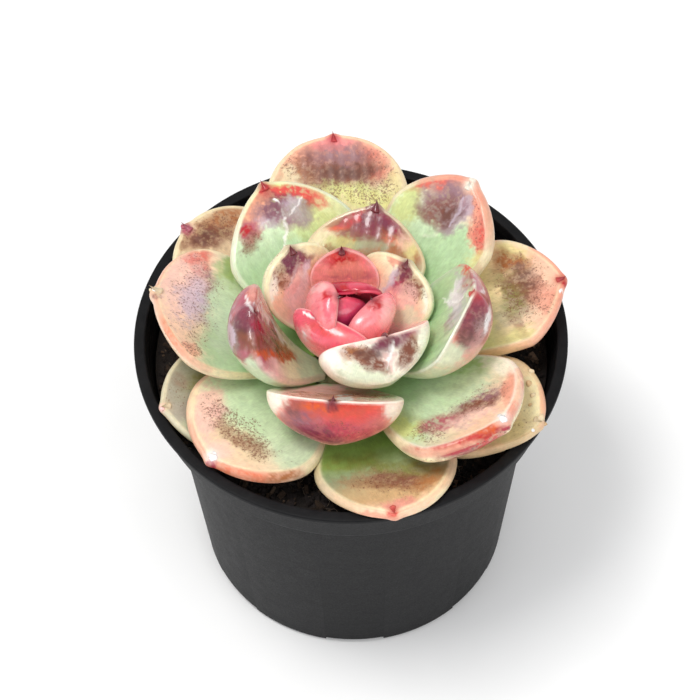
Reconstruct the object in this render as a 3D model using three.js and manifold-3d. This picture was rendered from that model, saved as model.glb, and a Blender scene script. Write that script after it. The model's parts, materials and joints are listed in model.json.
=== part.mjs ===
import * as THREE from 'three';
import { mergeVertices } from 'three/addons/utils/BufferGeometryUtils.js';
import Module from 'manifold-3d';

// Potted echeveria: a succulent rosette rooted in a plastic nursery pot.
// Millimetres, +Z up. The origin is the centre of the pot's underside.

// ---- pot ----
const POT_H = 83.5;          // height to the top of the lip
const LIP_R = 52.0;          // outer radius of the lip
const LIP_IN = 49.3;         // inner edge of the lip
const LIP_T = 1.5;           // thickness of the lip's edge
const COLLAR_R = 50.2;       // outside of the collar just under the lip
const COLLAR_LOW_R = 49.0;   // outside of the collar at its foot
const COLLAR_Z = 71.6;       // foot of the collar
const SHOULDER_Z = 69.0;     // where the shoulder meets the tapering wall
const WALL_TOP_R = 44.6;     // outside of the wall under the shoulder
const BASE_R = 39.1;         // outside of the wall at the foot
const WALL = 1.2;            // wall thickness
const FLOOR_T = 1.2;         // floor thickness
const FOOT_R = 37.9;         // flat underside, inside the rounded foot
const FOOT_ROUND = 1.0;      // height of the rounded foot
const SIDES = 70;            // facets round the pot, a multiple of the notches
const NOTCHES = 7;           // drain notches round the foot
const NOTCH_HALF_DEG = 11.0; // half the width of a notch
const NOTCH_H = 2.1;         // height of a notch
const NOTCH_IN_R = 35.6;     // how far a notch reaches in under the floor
const NOTCH_FRONT_DEG = -91; // direction of the front notch

// ---- soil and stem ----
const GAP = 0.3;             // gap kept between pieces that touch
const SOIL_TOP = 73.4;       // mean height of the soil's surface under the leaves
const SOIL_RISE = 1.1;       // how much higher it stands along the pot
const SOIL_WAVE = 0.45;      // unevenness of the surface
const STEM_FOOT_Z = 54.0;    // lowest point of the stem, in the soil

// ---- rosette ----
const RIM_Z = POT_H;         // the leaf table's heights are measured from the top of the lip
const AXIS_X = -2.00;       // the rosette's axis, off the pot's
const AXIS_Y = -7.11;

// One row a leaf, from the oldest and outermost to the heart:
// az       direction it starts in, degrees from +X towards +Y
// r0, z0   where it leaves the stem: distance from the axis, height from the top of the lip
// p0       upward pitch at the foot, degrees; k1, k2 its change along the leaf
// L, W     length, half of the greatest width
// roll     twist by the tip, degrees; yaw: sideways bend by the tip, degrees
// T0       thickness; d: depth of the dish in the upper face
// n        bluntness of the tip; sm: where the leaf is widest, as a share of L; f0: width of the foot
// b, a     breadth and drop of the rounded edge outside the rim; v: fullness of the keel
// mu       how far the point sits off the midrib; tip: length of the point; lift: how much it turns up
const LEAF_COLUMNS = ['az', 'r0', 'z0', 'p0', 'k1', 'k2', 'L', 'W', 'roll', 'yaw', 'T0', 'd', 'n', 'sm', 'f0', 'b', 'a', 'v', 'mu', 'tip', 'lift'];
const LEAVES = [
  ['leaf_01_outer_front_right', 343.8, 8, -7.09, 13.9, 3.81, -13.41, 43.99, 15.26, 5.46, -26.24, 3.84, 1.94, 1.59, 0.66, 0.3, 1.23, 1.58, 1.88, 2.14, 1, 0.6, 0xc9b98a],
  ['leaf_02_outer_left', 197.5, 8, -6.64, 8.13, 16.57, -7.43, 37.79, 15.87, -11.56, 1.51, 5.73, 1.45, 1.61, 0.58, 0.3, 1.01, 1.3, 1.91, 0.5, 1.2, 0.4, 0xa9ad8a],
  ['leaf_03_lower_back_right', 62.04, 8, -5.98, 9.8, 5.53, -2.52, 44.81, 14.12, 0.87, -2.1, 6.33, 0.8, 2, 0.62, 0.3, 1.43, 1.84, 2, -0.14, 1.2, 0.5, 0xa8a07c],
  ['leaf_04_outer_front', 290.4, 8, -6.4, 13.49, 8.18, -19.21, 39.88, 16.77, 1.21, -11.48, 3.84, 1.3, 1.88, 0.57, 0.3, 1.55, 1.99, 1.95, -1.59, 1, 0.6, 0xb59a74],
  ['leaf_05_outer_back_left', 128.7, 7.5, -5.4, 10.03, 9.09, -8.41, 47, 16.7, -3.19, 13.81, 6.97, 0.81, 1.95, 0.63, 0.3, 1.2, 1.54, 2, 1.12, 1.6, 0.5, 0xb8966f],
  ['leaf_06_outer_right', 23.32, 7.5, -3.92, 19.51, -4.36, -12.56, 50.38, 15.51, 2.62, -13.55, 6.18, 0.81, 1.5, 0.74, 0.3, 1.35, 1.73, 1.98, -0.95, 1.2, 0.6, 0xb8a872],
  ['leaf_07_outer_front_left', 220.9, 7.5, -4.18, 18.93, -4.87, -24.15, 36.79, 18.1, -2.11, 1.22, 5.43, 0.8, 1.81, 0.56, 0.3, 1.72, 2.22, 1.93, 1.07, 1.1, 0.7, 0xc8b592],
  ['leaf_08_outer_back', 89.68, 7.2, -3.12, 18.23, 4.12, -7.19, 53.03, 17.8, 0.25, 3.31, 6.22, 0.8, 2.16, 0.65, 0.3, 1.31, 1.69, 1.98, 0.03, 1.3, 0.5, 0xc59a82],
  ['leaf_09_middle_front_right', 325.6, 7, -1.98, 20.27, 14.28, -15.71, 43.16, 17.57, -5.18, -5.39, 8.36, 0.8, 1.59, 0.69, 0.3, 1.58, 2.03, 2.12, -0.47, 1.1, 0.8, 0xb9a486],
  ['leaf_10_middle_left', 160.1, 7, -1.75, 21.74, 13.56, -22.38, 42.09, 19.75, 17.74, 14.86, 7.14, 0.8, 1.8, 0.7, 0.3, 1.07, 1.38, 1.99, 0.25, 1.8, 0.5, 0xc9b494],
  ['leaf_11_middle_back_right', 48.56, 6.6, -0.82, 24.59, 16.73, -4.19, 47.2, 14.98, -2.6, -0, 6.92, 0.8, 1.55, 0.71, 0.3, 1.66, 2.13, 1.97, -1.2, 1, 0.6, 0xb5a58c],
  ['leaf_12_middle_front', 264.8, 6.4, -1.2, 45.34, 13.56, -17.67, 28.06, 15.81, -0.34, -0.91, 11.74, 1.5, 2.29, 0.71, 0.3, 0.38, 0.38, 1.44, 0.02, 1.6, 1, 0xb5604f],
  ['leaf_13_middle_back_left', 109.3, 6.2, 1.1, 25.45, 1.24, -8.56, 41.08, 16.88, -2.57, 13.21, 7.32, 1.02, 1.53, 0.59, 0.3, 1.24, 1.59, 1.97, 0.13, 1.4, 0.4, 0xb89a8c],
  ['leaf_14_inner_right', 357.9, 6, 1.99, 34.01, 31.02, -12.12, 35.48, 15.24, -12.88, -4.02, 11.34, 1.5, 1.5, 0.74, 0.3, 0.47, 0.47, 1.81, 0.83, 0.9, 0.3, 0xb59a8c],
  ['leaf_15_inner_front_left', 203.7, 5.6, 0.48, 40.65, 49.77, -18.49, 33.19, 11.17, -4.15, -22.23, 8.93, 1.5, 2.44, 0.76, 0.3, 1.29, 1.29, 1.58, -0.33, 0.9, 0.3, 0xa8816a],
  ['leaf_16_inner_back', 72.83, 5.4, 3.25, 34.98, 1.7, -8.33, 30.89, 14.53, 4.96, 1.4, 6.27, 1.08, 1.5, 0.61, 0.3, 0.78, 0.78, 1.98, 0.02, 1.8, 0.4, 0xa9775c],
  ['leaf_17_inner_front_right', 309.5, 5, 4.08, 67.17, 11.45, -37.76, 26.05, 13.62, -12.02, -11.25, 10.98, 2.57, 2.42, 0.72, 0.3, 0.3, 0.3, 1.55, 0.89, 0.9, 0.2, 0xb9a07a],
  ['leaf_18_inner_back_left', 131.6, 4.6, 4.68, 46.41, 19.31, -10.23, 24.22, 10.25, 5.12, -5.74, 6.93, 0.84, 2.12, 0.62, 0.3, 0.86, 0.86, 2, -0.66, 1.4, 0.3, 0xb28471],
  ['leaf_19_inner_back_right', 29.91, 4.4, 6.36, 40.74, 15.44, -9.27, 21.96, 11.27, 3.31, 12.45, 6.21, 0.88, 2.09, 0.65, 0.3, 0.8, 0.8, 2.01, 0.71, 1.3, 0.3, 0xb88d6c],
  ['bud_leaf_20_front', 246.5, 3.8, 6.97, 75.12, 23.7, -11.93, 16.98, 9.9, -4.24, -2.56, 5.7, 2.43, 2.38, 0.77, 0.3, 0.29, 0.34, 1.89, -2.74, 1.3, 0.2, 0xd96f74],
  ['bud_leaf_21_back', 85.04, 3.4, 7.38, 51.52, 14, -1.47, 20.14, 8.18, 1.4, 1.29, 4.64, 0.9, 1.85, 0.62, 0.3, 0.42, 0.49, 2, 0.72, 1.2, 0.3, 0xcf6a5f],
  ['bud_leaf_22_right', 345.9, 3, 7.83, 61.57, 36.89, 1.55, 17.03, 8.01, -21.74, -11.93, 5.42, 2.14, 2.16, 0.72, 0.3, 0.4, 0.48, 2.02, 1.68, 1, 0.1, 0xd96570],
  ['bud_leaf_23_left', 200, 2, 10.2, 70, 40, 22, 17, 7, 10, -24, 2.8, 0.5, 1.9, 0.62, 0.3, 0.29, 0.33, 1.97, 0, 0.9, 0.1, 0xcf5a66],
  ['bud_leaf_24_back_right', 53, 2.4, 10.2, 60, 60, 20, 16, 7.6, 22, 14, 2.8, 0.3, 2.3, 0.68, 0.3, 0.42, 0.52, 1.99, -2.5, 0.7, 0.1, 0xb8303f],
  ['bud_leaf_25_heart_front', 285, 1.5, 10.8, 76, 44, 10, 13.6, 5.2, 4.58, 2.01, 2.6, 0.3, 2.02, 0.68, 0.3, 0.32, 0.37, 2, 1.54, 0.5, 0, 0xb52a4a],
  ['bud_leaf_26_heart', 141, 1.4, 11.2, 92, 12, -0.29, 11.6, 3.6, 2.6, 2.21, 1.8, 0.2, 2.02, 0.65, 0.3, 0.26, 0.3, 2, -2.13, 0.5, 0, 0x8f1c38],
];
// leaves that press on one another: the first is flattened where the second lies against it
const PRESSED = [
  ['leaf_01_outer_front_right', 'leaf_04_outer_front'],
  ['leaf_09_middle_front_right', 'leaf_12_middle_front'],
  ['leaf_14_inner_right', 'leaf_17_inner_front_right'],
  ['leaf_17_inner_front_right', 'leaf_19_inner_back_right'],
  ['bud_leaf_23_left', 'bud_leaf_20_front'],
  ['bud_leaf_23_left', 'leaf_18_inner_back_left'],
  ['bud_leaf_24_back_right', 'bud_leaf_22_right'],
  ['bud_leaf_24_back_right', 'bud_leaf_21_back'],
  ['bud_leaf_24_back_right', 'bud_leaf_23_left'],
  ['bud_leaf_25_heart_front', 'bud_leaf_23_left'],
  ['bud_leaf_25_heart_front', 'bud_leaf_22_right'],
  ['bud_leaf_25_heart_front', 'bud_leaf_20_front'],
  ['bud_leaf_25_heart_front', 'bud_leaf_24_back_right'],
  ['bud_leaf_26_heart', 'bud_leaf_23_left'],
  ['bud_leaf_26_heart', 'bud_leaf_24_back_right'],
  ['bud_leaf_26_heart', 'bud_leaf_25_heart_front'],
  ['bud_leaf_26_heart', 'bud_leaf_22_right'],
];
// leaves that lie on the lip
const ON_LIP = ['leaf_01_outer_front_right', 'leaf_04_outer_front'];
// the stem's outline, [radius, height]: it narrows as the leaves leave it
const STEM = [
  [0, STEM_FOOT_Z], [4.2, STEM_FOOT_Z], [5.8, 62], [7.0, 72], [7.5, 75], [7.1, 77.8], [6.6, 79.6], [5.7, 81.2], [5.3, 83.0], [4.9, 85.2],
  [4.4, 87.2], [3.9, 88.6], [2.9, 90.0], [2.2, 91.6], [1.9, 93.0], [1.0, 94.0], [0, 94.2],
];

const LEAF_SIDE = 4;         // stations along each side, up to the widest place
const LEAF_CAP = 4;          // stations round the tip
const UPPER = [0, 0.55, 'rim', 1];  // rows across the upper face, midrib to edge
const LOWER = [0.8, 0.45];          // rows across the lower face, edge to keel
const STEPS = 24;            // steps used to bend a midrib

const rad = (d) => d * Math.PI / 180;
const clamp = (v, a, b) => Math.min(Math.max(v, a), b);

// A leaf is a bent, thick, keeled body. Its own coordinates are x across, s along the midrib and n
// towards the upper face. The upper face is a shallow dish inside a rim, the edge is rounded, and the
// lower face swells down to a keel.
class Leaf {
  constructor(row) {
    LEAF_COLUMNS.forEach((key, i) => { this[key] = row[i + 1]; });
    this.M = []; this.T = []; this.E = []; this.N = [];
    const at = (u) => {
      const ph = rad(this.p0 + this.k1 * u + this.k2 * u ** 4), ps = rad(this.az + this.yaw * u);
      return [ph, ps];
    };
    const p = new THREE.Vector3(AXIS_X + this.r0 * Math.cos(rad(this.az)), AXIS_Y + this.r0 * Math.sin(rad(this.az)), RIM_Z + this.z0);
    for (let k = 0; k <= STEPS; k++) {
      this.M.push(p.clone());
      const [ph, ps] = at(k / STEPS), ro = rad(this.roll * k / STEPS);
      const t = new THREE.Vector3(Math.cos(ph) * Math.cos(ps), Math.cos(ph) * Math.sin(ps), Math.sin(ph));
      const e = new THREE.Vector3(-Math.sin(ps), Math.cos(ps), 0);
      const n = new THREE.Vector3().crossVectors(t, e);
      this.T.push(t);
      this.E.push(e.clone().multiplyScalar(Math.cos(ro)).addScaledVector(n, Math.sin(ro)));
      this.N.push(n.clone().multiplyScalar(Math.cos(ro)).addScaledVector(e, -Math.sin(ro)));
      const [pm, sm] = at((k + 0.5) / STEPS);
      p.add(new THREE.Vector3(Math.cos(pm) * Math.cos(sm), Math.cos(pm) * Math.sin(sm), Math.sin(pm)).multiplyScalar(this.L / STEPS));
    }
  }
  half(s) {  // half the width at s
    const m = this.sm * this.L;
    if (s <= m) return this.W * (this.f0 + (1 - this.f0) * Math.sin(Math.PI / 2 * clamp(s / m, 0, 1)) ** 1.25);
    return this.W * (1 - clamp((s - m) / (this.L - m), 0, 1) ** this.n) ** (1 / this.n);
  }
  reach(x, s) {  // 0 at the midrib, 1 at the outline, and the width it is measured against
    const m = this.sm * this.L;
    if (s <= m) { const w = this.half(clamp(s, 0, m)); return [Math.abs(x) / w, w]; }
    const y = (s - m) / (this.L - m);
    const c = ((Math.abs(x) / this.W) ** this.n + y ** this.n) ** (1 / this.n);
    return [c, c > 1e-6 ? Math.hypot(x, s - m) / c : this.W];
  }
  thick(s) {
    return this.T0 * (0.36 + 0.64 * Math.sin(Math.PI / 2 * clamp(s / (0.6 * this.L), 0, 1)) ** 1.3);
  }
  faces(x, s) {  // heights of the upper and the lower face
    const [l, w] = this.reach(x, s), t = this.thick(s);
    const b = Math.min(this.b, 0.35 * w), a = Math.min(this.a, 0.42 * t);
    const de = clamp(1 - l, 0, 1) * w;
    let top;
    if (de < b) { const q = clamp(1 - de / b, 0, 1); top = -a + a * Math.sqrt(Math.max(0, 1 - q * q)); }
    else {
      const mu = clamp((de - b) / Math.max(w - b, 1e-6), 0, 1);
      top = -this.d * clamp(s / (0.35 * this.L), 0, 1) * (1 - (1 - mu) ** 2);
    }
    return [top, -a - (t - a) * Math.sqrt(Math.max(0, 1 - clamp(l, 0, 1) ** this.v))];
  }
  at(x, s, n) {
    const u = clamp(s / this.L, 0, 1) * STEPS, i = Math.min(Math.floor(u), STEPS - 1), f = u - i;
    const mix = (A) => A[i].clone().multiplyScalar(1 - f).addScaledVector(A[i + 1], f);
    return mix(this.M).addScaledVector(mix(this.E).normalize(), x).addScaledVector(mix(this.N).normalize(), n)
      .addScaledVector(mix(this.T), s - clamp(s, 0, this.L));
  }
  // the small point on the rim at the tip
  point() {
    const m = this.sm * this.L, x = clamp(this.mu, -0.9 * this.W, 0.9 * this.W);
    const s = m + (this.L - this.b - m) * (1 - (Math.abs(x) / this.W) ** this.n) ** (1 / this.n);
    const axis = this.T[STEPS].clone().multiplyScalar(Math.sqrt(1 - 0.5 * this.lift ** 2)).addScaledVector(this.N[STEPS], 0.9 * this.lift).normalize();
    const g = new THREE.ConeGeometry(0.42 + 0.22 * this.tip, this.tip + 0.9, 6);
    g.applyQuaternion(new THREE.Quaternion().setFromUnitVectors(new THREE.Vector3(0, 1, 0), axis));
    const c = this.at(x, s, -0.25).addScaledVector(axis, (this.tip - 0.5) / 2);
    g.translate(c.x, c.y, c.z);
    return g;
  }
  geometry() {
    const m = this.sm * this.L, outer = [], spine = [];
    for (let j = 0; j <= LEAF_SIDE; j++) { const s = m * j / LEAF_SIDE; outer.push([this.half(s), s]); spine.push(0.92 * s); }
    const end = m + 0.5 * (this.L - m);
    for (let j = 1; j <= LEAF_CAP; j++) {
      const al = Math.PI / 2 * j / LEAF_CAP, c = Math.cos(al), si = Math.sin(al);
      const R = (Math.abs(c) ** this.n + si ** this.n) ** (-1 / this.n);
      outer.push([j < LEAF_CAP ? this.W * c * R : 0, m + (this.L - m) * si * R]);
      spine.push(0.92 * m + (end - 0.92 * m) * si ** 1.4);
    }
    const J = outer.length, nt = UPPER.length, nb = LOWER.length;
    const verts = [], tris = [], top = {}, bot = {};
    const add = (p) => { verts.push(p.x, p.y, p.z); return verts.length / 3 - 1; };
    const key = (g, j, i) => `${g},${j},${i}`;
    for (const g of [1, -1]) for (let j = 0; j < J; j++) {
      const [ox, os] = outer[j], P = spine[j], [, w] = this.reach(ox, os), rim = 1 - Math.min(this.b, 0.35 * w) / w;
      for (let i = 0; i < nt; i++) {
        if (g === -1 && (i === 0 || j === J - 1)) { top[key(g, j, i)] = top[key(1, j, i)]; continue; }
        const v = UPPER[i], f = v === 'rim' ? rim : v < 1 ? rim * v : 1;
        const x = g * ox * f, s = P + (os - P) * f;
        const n = v === 'rim' ? 0 : v === 1 ? -Math.min(this.a, 0.42 * this.thick(s)) : this.faces(x, s)[0];
        top[key(g, j, i)] = add(this.at(x, s, n));
      }
    }
    for (let j = 0; j < J; j++) {
      const keel = add(this.at(0, spine[j], this.faces(0, spine[j])[1]));
      for (const g of [1, -1]) {
        bot[key(g, j, 0)] = top[key(g, j, nt - 1)];
        for (let i = 0; i < nb; i++) {
          if (g === -1 && j === J - 1) { bot[key(g, j, i + 1)] = bot[key(1, j, i + 1)]; continue; }
          const x = g * outer[j][0] * LOWER[i], s = spine[j] + (outer[j][1] - spine[j]) * LOWER[i];
          bot[key(g, j, i + 1)] = add(this.at(x, s, this.faces(x, s)[1]));
        }
        bot[key(g, j, nb + 1)] = keel;
      }
    }
    const tri = (a, b, c, flip) => { if (a !== b && b !== c && a !== c) tris.push(...(flip ? [c, b, a] : [a, b, c])); };
    const quad = (a, b, c, d, flip) => { tri(a, b, c, flip); tri(a, c, d, flip); };
    for (const g of [1, -1]) for (let j = 0; j < J - 1; j++) {
      for (let i = 0; i < nt - 1; i++) quad(top[key(g, j, i)], top[key(g, j + 1, i)], top[key(g, j + 1, i + 1)], top[key(g, j, i + 1)], g < 0);
      for (let i = 0; i < nb + 1; i++) quad(bot[key(g, j, i)], bot[key(g, j + 1, i)], bot[key(g, j + 1, i + 1)], bot[key(g, j, i + 1)], g < 0);
    }
    // the flat end by which the leaf sits on the stem
    const loop = [];
    for (let i = 0; i < nt; i++) loop.push(top[key(1, 0, i)]);
    for (let i = 1; i <= nb + 1; i++) loop.push(bot[key(1, 0, i)]);
    for (let i = nb; i > 0; i--) loop.push(bot[key(-1, 0, i)]);
    for (let i = nt - 1; i > 0; i--) loop.push(top[key(-1, 0, i)]);
    const c = new THREE.Vector3();
    for (const k of loop) c.add(new THREE.Vector3(verts[3 * k], verts[3 * k + 1], verts[3 * k + 2]));
    const mid = add(c.multiplyScalar(1 / loop.length));
    loop.forEach((k, q) => tris.push(mid, k, loop[(q + 1) % loop.length]));
    return solid(verts, tris);
  }
}

function volume(verts, tris) {
  let v = 0;
  const p = (k) => new THREE.Vector3(verts[3 * k], verts[3 * k + 1], verts[3 * k + 2]);
  for (let i = 0; i < tris.length; i += 3) v += p(tris[i]).dot(p(tris[i + 1]).cross(p(tris[i + 2])));
  return v / 6;
}
function solid(verts, tris) {
  if (volume(verts, tris) < 0) for (let i = 0; i < tris.length; i += 3) [tris[i], tris[i + 1]] = [tris[i + 1], tris[i]];
  const g = new THREE.BufferGeometry();
  g.setAttribute('position', new THREE.Float32BufferAttribute(verts, 3));
  g.setIndex(tris);
  return g;
}

// ---- booleans ----
const wasm = await Module();
wasm.setup();
function toSolid(geometry) {
  const g = geometry.clone();
  g.deleteAttribute('normal'); g.deleteAttribute('uv');
  const m = mergeVertices(g, 1e-4), pos = m.attributes.position.array, idx = Array.from(m.index.array), keep = [];
  for (let i = 0; i < idx.length; i += 3) {
    const [a, b, c] = [idx[i], idx[i + 1], idx[i + 2]];
    if (a !== b && b !== c && a !== c) keep.push(a, b, c);
  }
  if (volume(pos, keep) < 0) for (let i = 0; i < keep.length; i += 3) [keep[i], keep[i + 1]] = [keep[i + 1], keep[i]];
  return new wasm.Manifold(new wasm.Mesh({ numProp: 3, vertProperties: new Float32Array(pos), triVerts: new Uint32Array(keep) }));
}
function toGeometry(manifold) {
  const m = manifold.getMesh(), g = new THREE.BufferGeometry(), pos = [];
  for (let i = 0; i < m.vertProperties.length; i += m.numProp) pos.push(m.vertProperties[i], m.vertProperties[i + 1], m.vertProperties[i + 2]);
  g.setAttribute('position', new THREE.Float32BufferAttribute(pos, 3));
  g.setIndex(Array.from(m.triVerts));
  return g;
}
// a solid of revolution about Z from [radius, height] points
function turned(points, sides, phase = 0) {
  const g = new THREE.LatheGeometry(points.map(([r, z]) => new THREE.Vector2(r, z)), sides);
  g.rotateX(Math.PI / 2);
  g.rotateZ(phase);
  return g;
}

// ---- pot ----
function pot() {
  const innerAt = (z) => BASE_R + (WALL_TOP_R - BASE_R) * z / SHOULDER_Z - WALL;
  const section = [
    [0, 0], [FOOT_R, 0], [BASE_R + 0.05, FOOT_ROUND], [WALL_TOP_R, SHOULDER_Z], [COLLAR_LOW_R, COLLAR_Z], [COLLAR_R, POT_H - LIP_T],
    [LIP_R, POT_H - LIP_T], [LIP_R, POT_H - 0.35], [LIP_R - 0.35, POT_H], [LIP_IN, POT_H], [COLLAR_LOW_R - WALL, COLLAR_Z + 0.9],
    [innerAt(SHOULDER_Z), SHOULDER_Z + 0.8], [innerAt(FLOOR_T), FLOOR_T], [0, FLOOR_T],
  ];
  let body = toSolid(turned(section, SIDES, rad(NOTCH_FRONT_DEG)));
  for (let k = 0; k < NOTCHES; k++) {
    const mid = rad(NOTCH_FRONT_DEG + 360 / NOTCHES * k), h = rad(NOTCH_HALF_DEG);
    const shape = new THREE.Shape();
    shape.moveTo(NOTCH_IN_R * Math.cos(mid - h), NOTCH_IN_R * Math.sin(mid - h));
    shape.lineTo(45 * Math.cos(mid - h), 45 * Math.sin(mid - h));
    shape.lineTo(45 * Math.cos(mid + h), 45 * Math.sin(mid + h));
    for (let i = 0; i <= 3; i++) { const a = mid + h * (1 - 2 * i / 4); shape.lineTo(NOTCH_IN_R * Math.cos(a), NOTCH_IN_R * Math.sin(a)); }
    const cut = new THREE.ExtrudeGeometry(shape, { depth: NOTCH_H + 5, bevelEnabled: false });
    cut.translate(0, 0, -5);
    body = body.subtract(toSolid(cut));
  }
  return toGeometry(body);
}

// ---- soil: fills the pot up to the collar, with a socket for the stem ----
const soilTop = (x, y) => SOIL_TOP + SOIL_RISE * clamp((Math.hypot(x, y) - 34) / 9, 0, 1) ** 2 + SOIL_WAVE * (0.5 * Math.sin(0.21 * x + 0.8) * Math.cos(0.17 * y - 0.4) + 0.35 * Math.sin(0.33 * y + 0.19 * x) + 0.2 * Math.cos(0.45 * x - 0.3 * y));
function soil() {
  const innerAt = (z) => BASE_R + (WALL_TOP_R - BASE_R) * z / SHOULDER_Z - WALL - GAP;
  const low = FLOOR_T + GAP, rEdge = COLLAR_LOW_R - WALL - GAP - 0.1, rings = [0, 12, 22, 31, 38, 43];
  const TOP = COLLAR_Z + 3;
  const section = [[0, low], [innerAt(low), low], [innerAt(SHOULDER_Z), SHOULDER_Z + 1.15], [rEdge, COLLAR_Z + 1.2], [rEdge, TOP]];
  for (let i = rings.length - 1; i >= 0; i--) section.push([rings[i], TOP]);
  const g = turned(section, 48), p = g.attributes.position;
  for (let i = 0; i < p.count; i++) if (Math.abs(p.getZ(i) - TOP) < 1e-3) p.setZ(i, soilTop(p.getX(i), p.getY(i)));
  const hole = turned([[0, STEM_FOOT_Z - GAP], [STEM[1][0] + GAP, STEM_FOOT_Z - GAP], [STEM[2][0] + GAP, STEM[2][1]], [STEM[3][0] + GAP, STEM[3][1]], [STEM[4][0] + GAP, STEM[4][1]], [STEM[4][0] + GAP, 92], [0, 92]], 24);
  hole.translate(AXIS_X, AXIS_Y, 0);
  return toGeometry(toSolid(g).subtract(toSolid(hole)));
}

// ---- the object ----
const group = new THREE.Group();
function place(name, geometry, color, roughness) {
  const mesh = new THREE.Mesh(geometry, new THREE.MeshStandardMaterial({ color, roughness, metalness: 0 }));
  mesh.name = name;
  group.add(mesh);
}
place('pot', pot(), 0x343536, 0.55);
place('potting_soil', soil(), 0x1c1410, 0.95);
{
  const g = turned(STEM, 16);
  g.translate(AXIS_X, AXIS_Y, 0);
  place('stem', toGeometry(toSolid(g)), 0x8f8a5a, 0.8);
}
// what a leaf may not enter: the space above the lip's top, and its neighbours with a gap round them
const lip = toSolid(turned([[LIP_IN - GAP, POT_H - 6], [LIP_R + 3, POT_H - 6], [LIP_R + 3, POT_H + GAP], [LIP_IN - GAP, POT_H + GAP], [LIP_IN - GAP, POT_H - 6]], 96));
const bodies = new Map(LEAVES.map((row) => { const leaf = new Leaf(row); return [row[0], toSolid(leaf.geometry()).add(toSolid(leaf.point()))]; }));
const NUDGES = [[0, 0, 0], [GAP, 0, 0], [-GAP, 0, 0], [0, GAP, 0], [0, -GAP, 0], [0, 0, GAP], [0, 0, -GAP]];
for (const x of [-0.2, 0.2]) for (const y of [-0.2, 0.2]) for (const z of [-0.2, 0.2]) NUDGES.push([x, y, z]);
for (const row of LEAVES) {
  let body = bodies.get(row[0]);
  if (ON_LIP.includes(row[0])) body = body.subtract(lip);
  for (const [under, over] of PRESSED) if (under === row[0]) for (const d of NUDGES) body = body.subtract(bodies.get(over).translate(d));
  place(row[0], toGeometry(body), row[row.length - 1], 0.45);
}

export default group;
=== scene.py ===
import bpy
import json
import math
import numpy as np
from mathutils import Matrix, Vector

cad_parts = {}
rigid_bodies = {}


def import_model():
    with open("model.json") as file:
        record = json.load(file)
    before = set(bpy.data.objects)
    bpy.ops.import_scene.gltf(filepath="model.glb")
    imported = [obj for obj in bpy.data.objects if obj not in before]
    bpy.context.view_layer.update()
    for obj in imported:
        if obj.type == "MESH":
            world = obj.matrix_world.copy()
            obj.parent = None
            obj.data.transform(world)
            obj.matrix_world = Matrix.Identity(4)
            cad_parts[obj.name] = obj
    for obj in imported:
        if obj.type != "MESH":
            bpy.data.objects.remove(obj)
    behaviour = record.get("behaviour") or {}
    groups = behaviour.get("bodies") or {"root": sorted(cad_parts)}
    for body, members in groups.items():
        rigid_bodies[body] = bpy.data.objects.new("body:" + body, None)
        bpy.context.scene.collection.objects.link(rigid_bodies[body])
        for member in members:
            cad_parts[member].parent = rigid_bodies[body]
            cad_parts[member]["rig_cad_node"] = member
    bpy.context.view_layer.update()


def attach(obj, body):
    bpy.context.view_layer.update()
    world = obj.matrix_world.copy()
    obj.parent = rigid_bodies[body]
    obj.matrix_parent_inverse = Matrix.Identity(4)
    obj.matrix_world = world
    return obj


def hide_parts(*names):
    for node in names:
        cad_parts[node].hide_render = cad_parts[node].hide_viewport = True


# Potted echeveria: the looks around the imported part. Lengths below are millimetres in the part's frame
# (+Z up, origin under the middle of the pot) and are turned into metres when a mesh is made.

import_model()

MM = 0.001
POT_H = 83.5

# ---------------------------------------------------------------- camera
EL, DIST, U0, V0, FPX, TILT = 55.63, 600.0, 350.7, 334.1, 2504.0, -1.27
_e, _t = math.radians(EL), math.radians(TILT)
BACK = np.array([0, -math.cos(_e), math.sin(_e)])
_r = np.array([1.0, 0, 0])
_u = np.cross(BACK, _r)
RIGHT = _r * math.cos(_t) + _u * math.sin(_t)
UP = -_r * math.sin(_t) + _u * math.cos(_t)
CAM = np.array([0, 0, POT_H]) - RIGHT * (U0 - 350) / FPX * DIST + UP * (V0 - 350) / FPX * DIST + BACK * DIST


def seen(P):
    """where points of the part fall in a 700 x 700 view"""
    Q = np.asarray(P, float) - CAM
    z = -(Q @ BACK)
    return np.stack([350 + FPX * (Q @ RIGHT) / z, 350 - FPX * (Q @ UP) / z], -1)


cam_data = bpy.data.cameras.new("camera")
cam_data.sensor_width = 36.0
cam_data.sensor_fit = "HORIZONTAL"
cam_data.lens = FPX / 700.0 * 36.0
cam_data.clip_end = 20.0
cam_data.clip_start = 0.01
cam = bpy.data.objects.new("camera", cam_data)
bpy.context.scene.collection.objects.link(cam)
cam.matrix_world = Matrix((
    (RIGHT[0], UP[0], BACK[0], CAM[0] * MM),
    (RIGHT[1], UP[1], BACK[1], CAM[1] * MM),
    (RIGHT[2], UP[2], BACK[2], CAM[2] * MM),
    (0, 0, 0, 1)))
bpy.context.scene.camera = cam

# ---------------------------------------------------------------- helpers
def lin(c):
    c = np.asarray(c, float) / 255.0
    return np.where(c <= 0.04045, c / 12.92, ((c + 0.055) / 1.055) ** 2.4)


def step(x, a, b):
    t = np.clip((x - a) / (b - a), 0, 1)
    return t * t * (3 - 2 * t)


def _hash(i, j, k, seed):
    h = (i.astype(np.int64) * 374761393 + j.astype(np.int64) * 668265263 + k.astype(np.int64) * 2147483647 + seed * 1274126177) & 0xFFFFFFFF
    h = ((h ^ (h >> 13)) * 1274126177) & 0xFFFFFFFF
    h = ((h ^ (h >> 16)) * 2246822519) & 0xFFFFFFFF
    return ((h ^ (h >> 15)) & 0xFFFFFF) / float(0xFFFFFF) * 2 - 1


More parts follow.
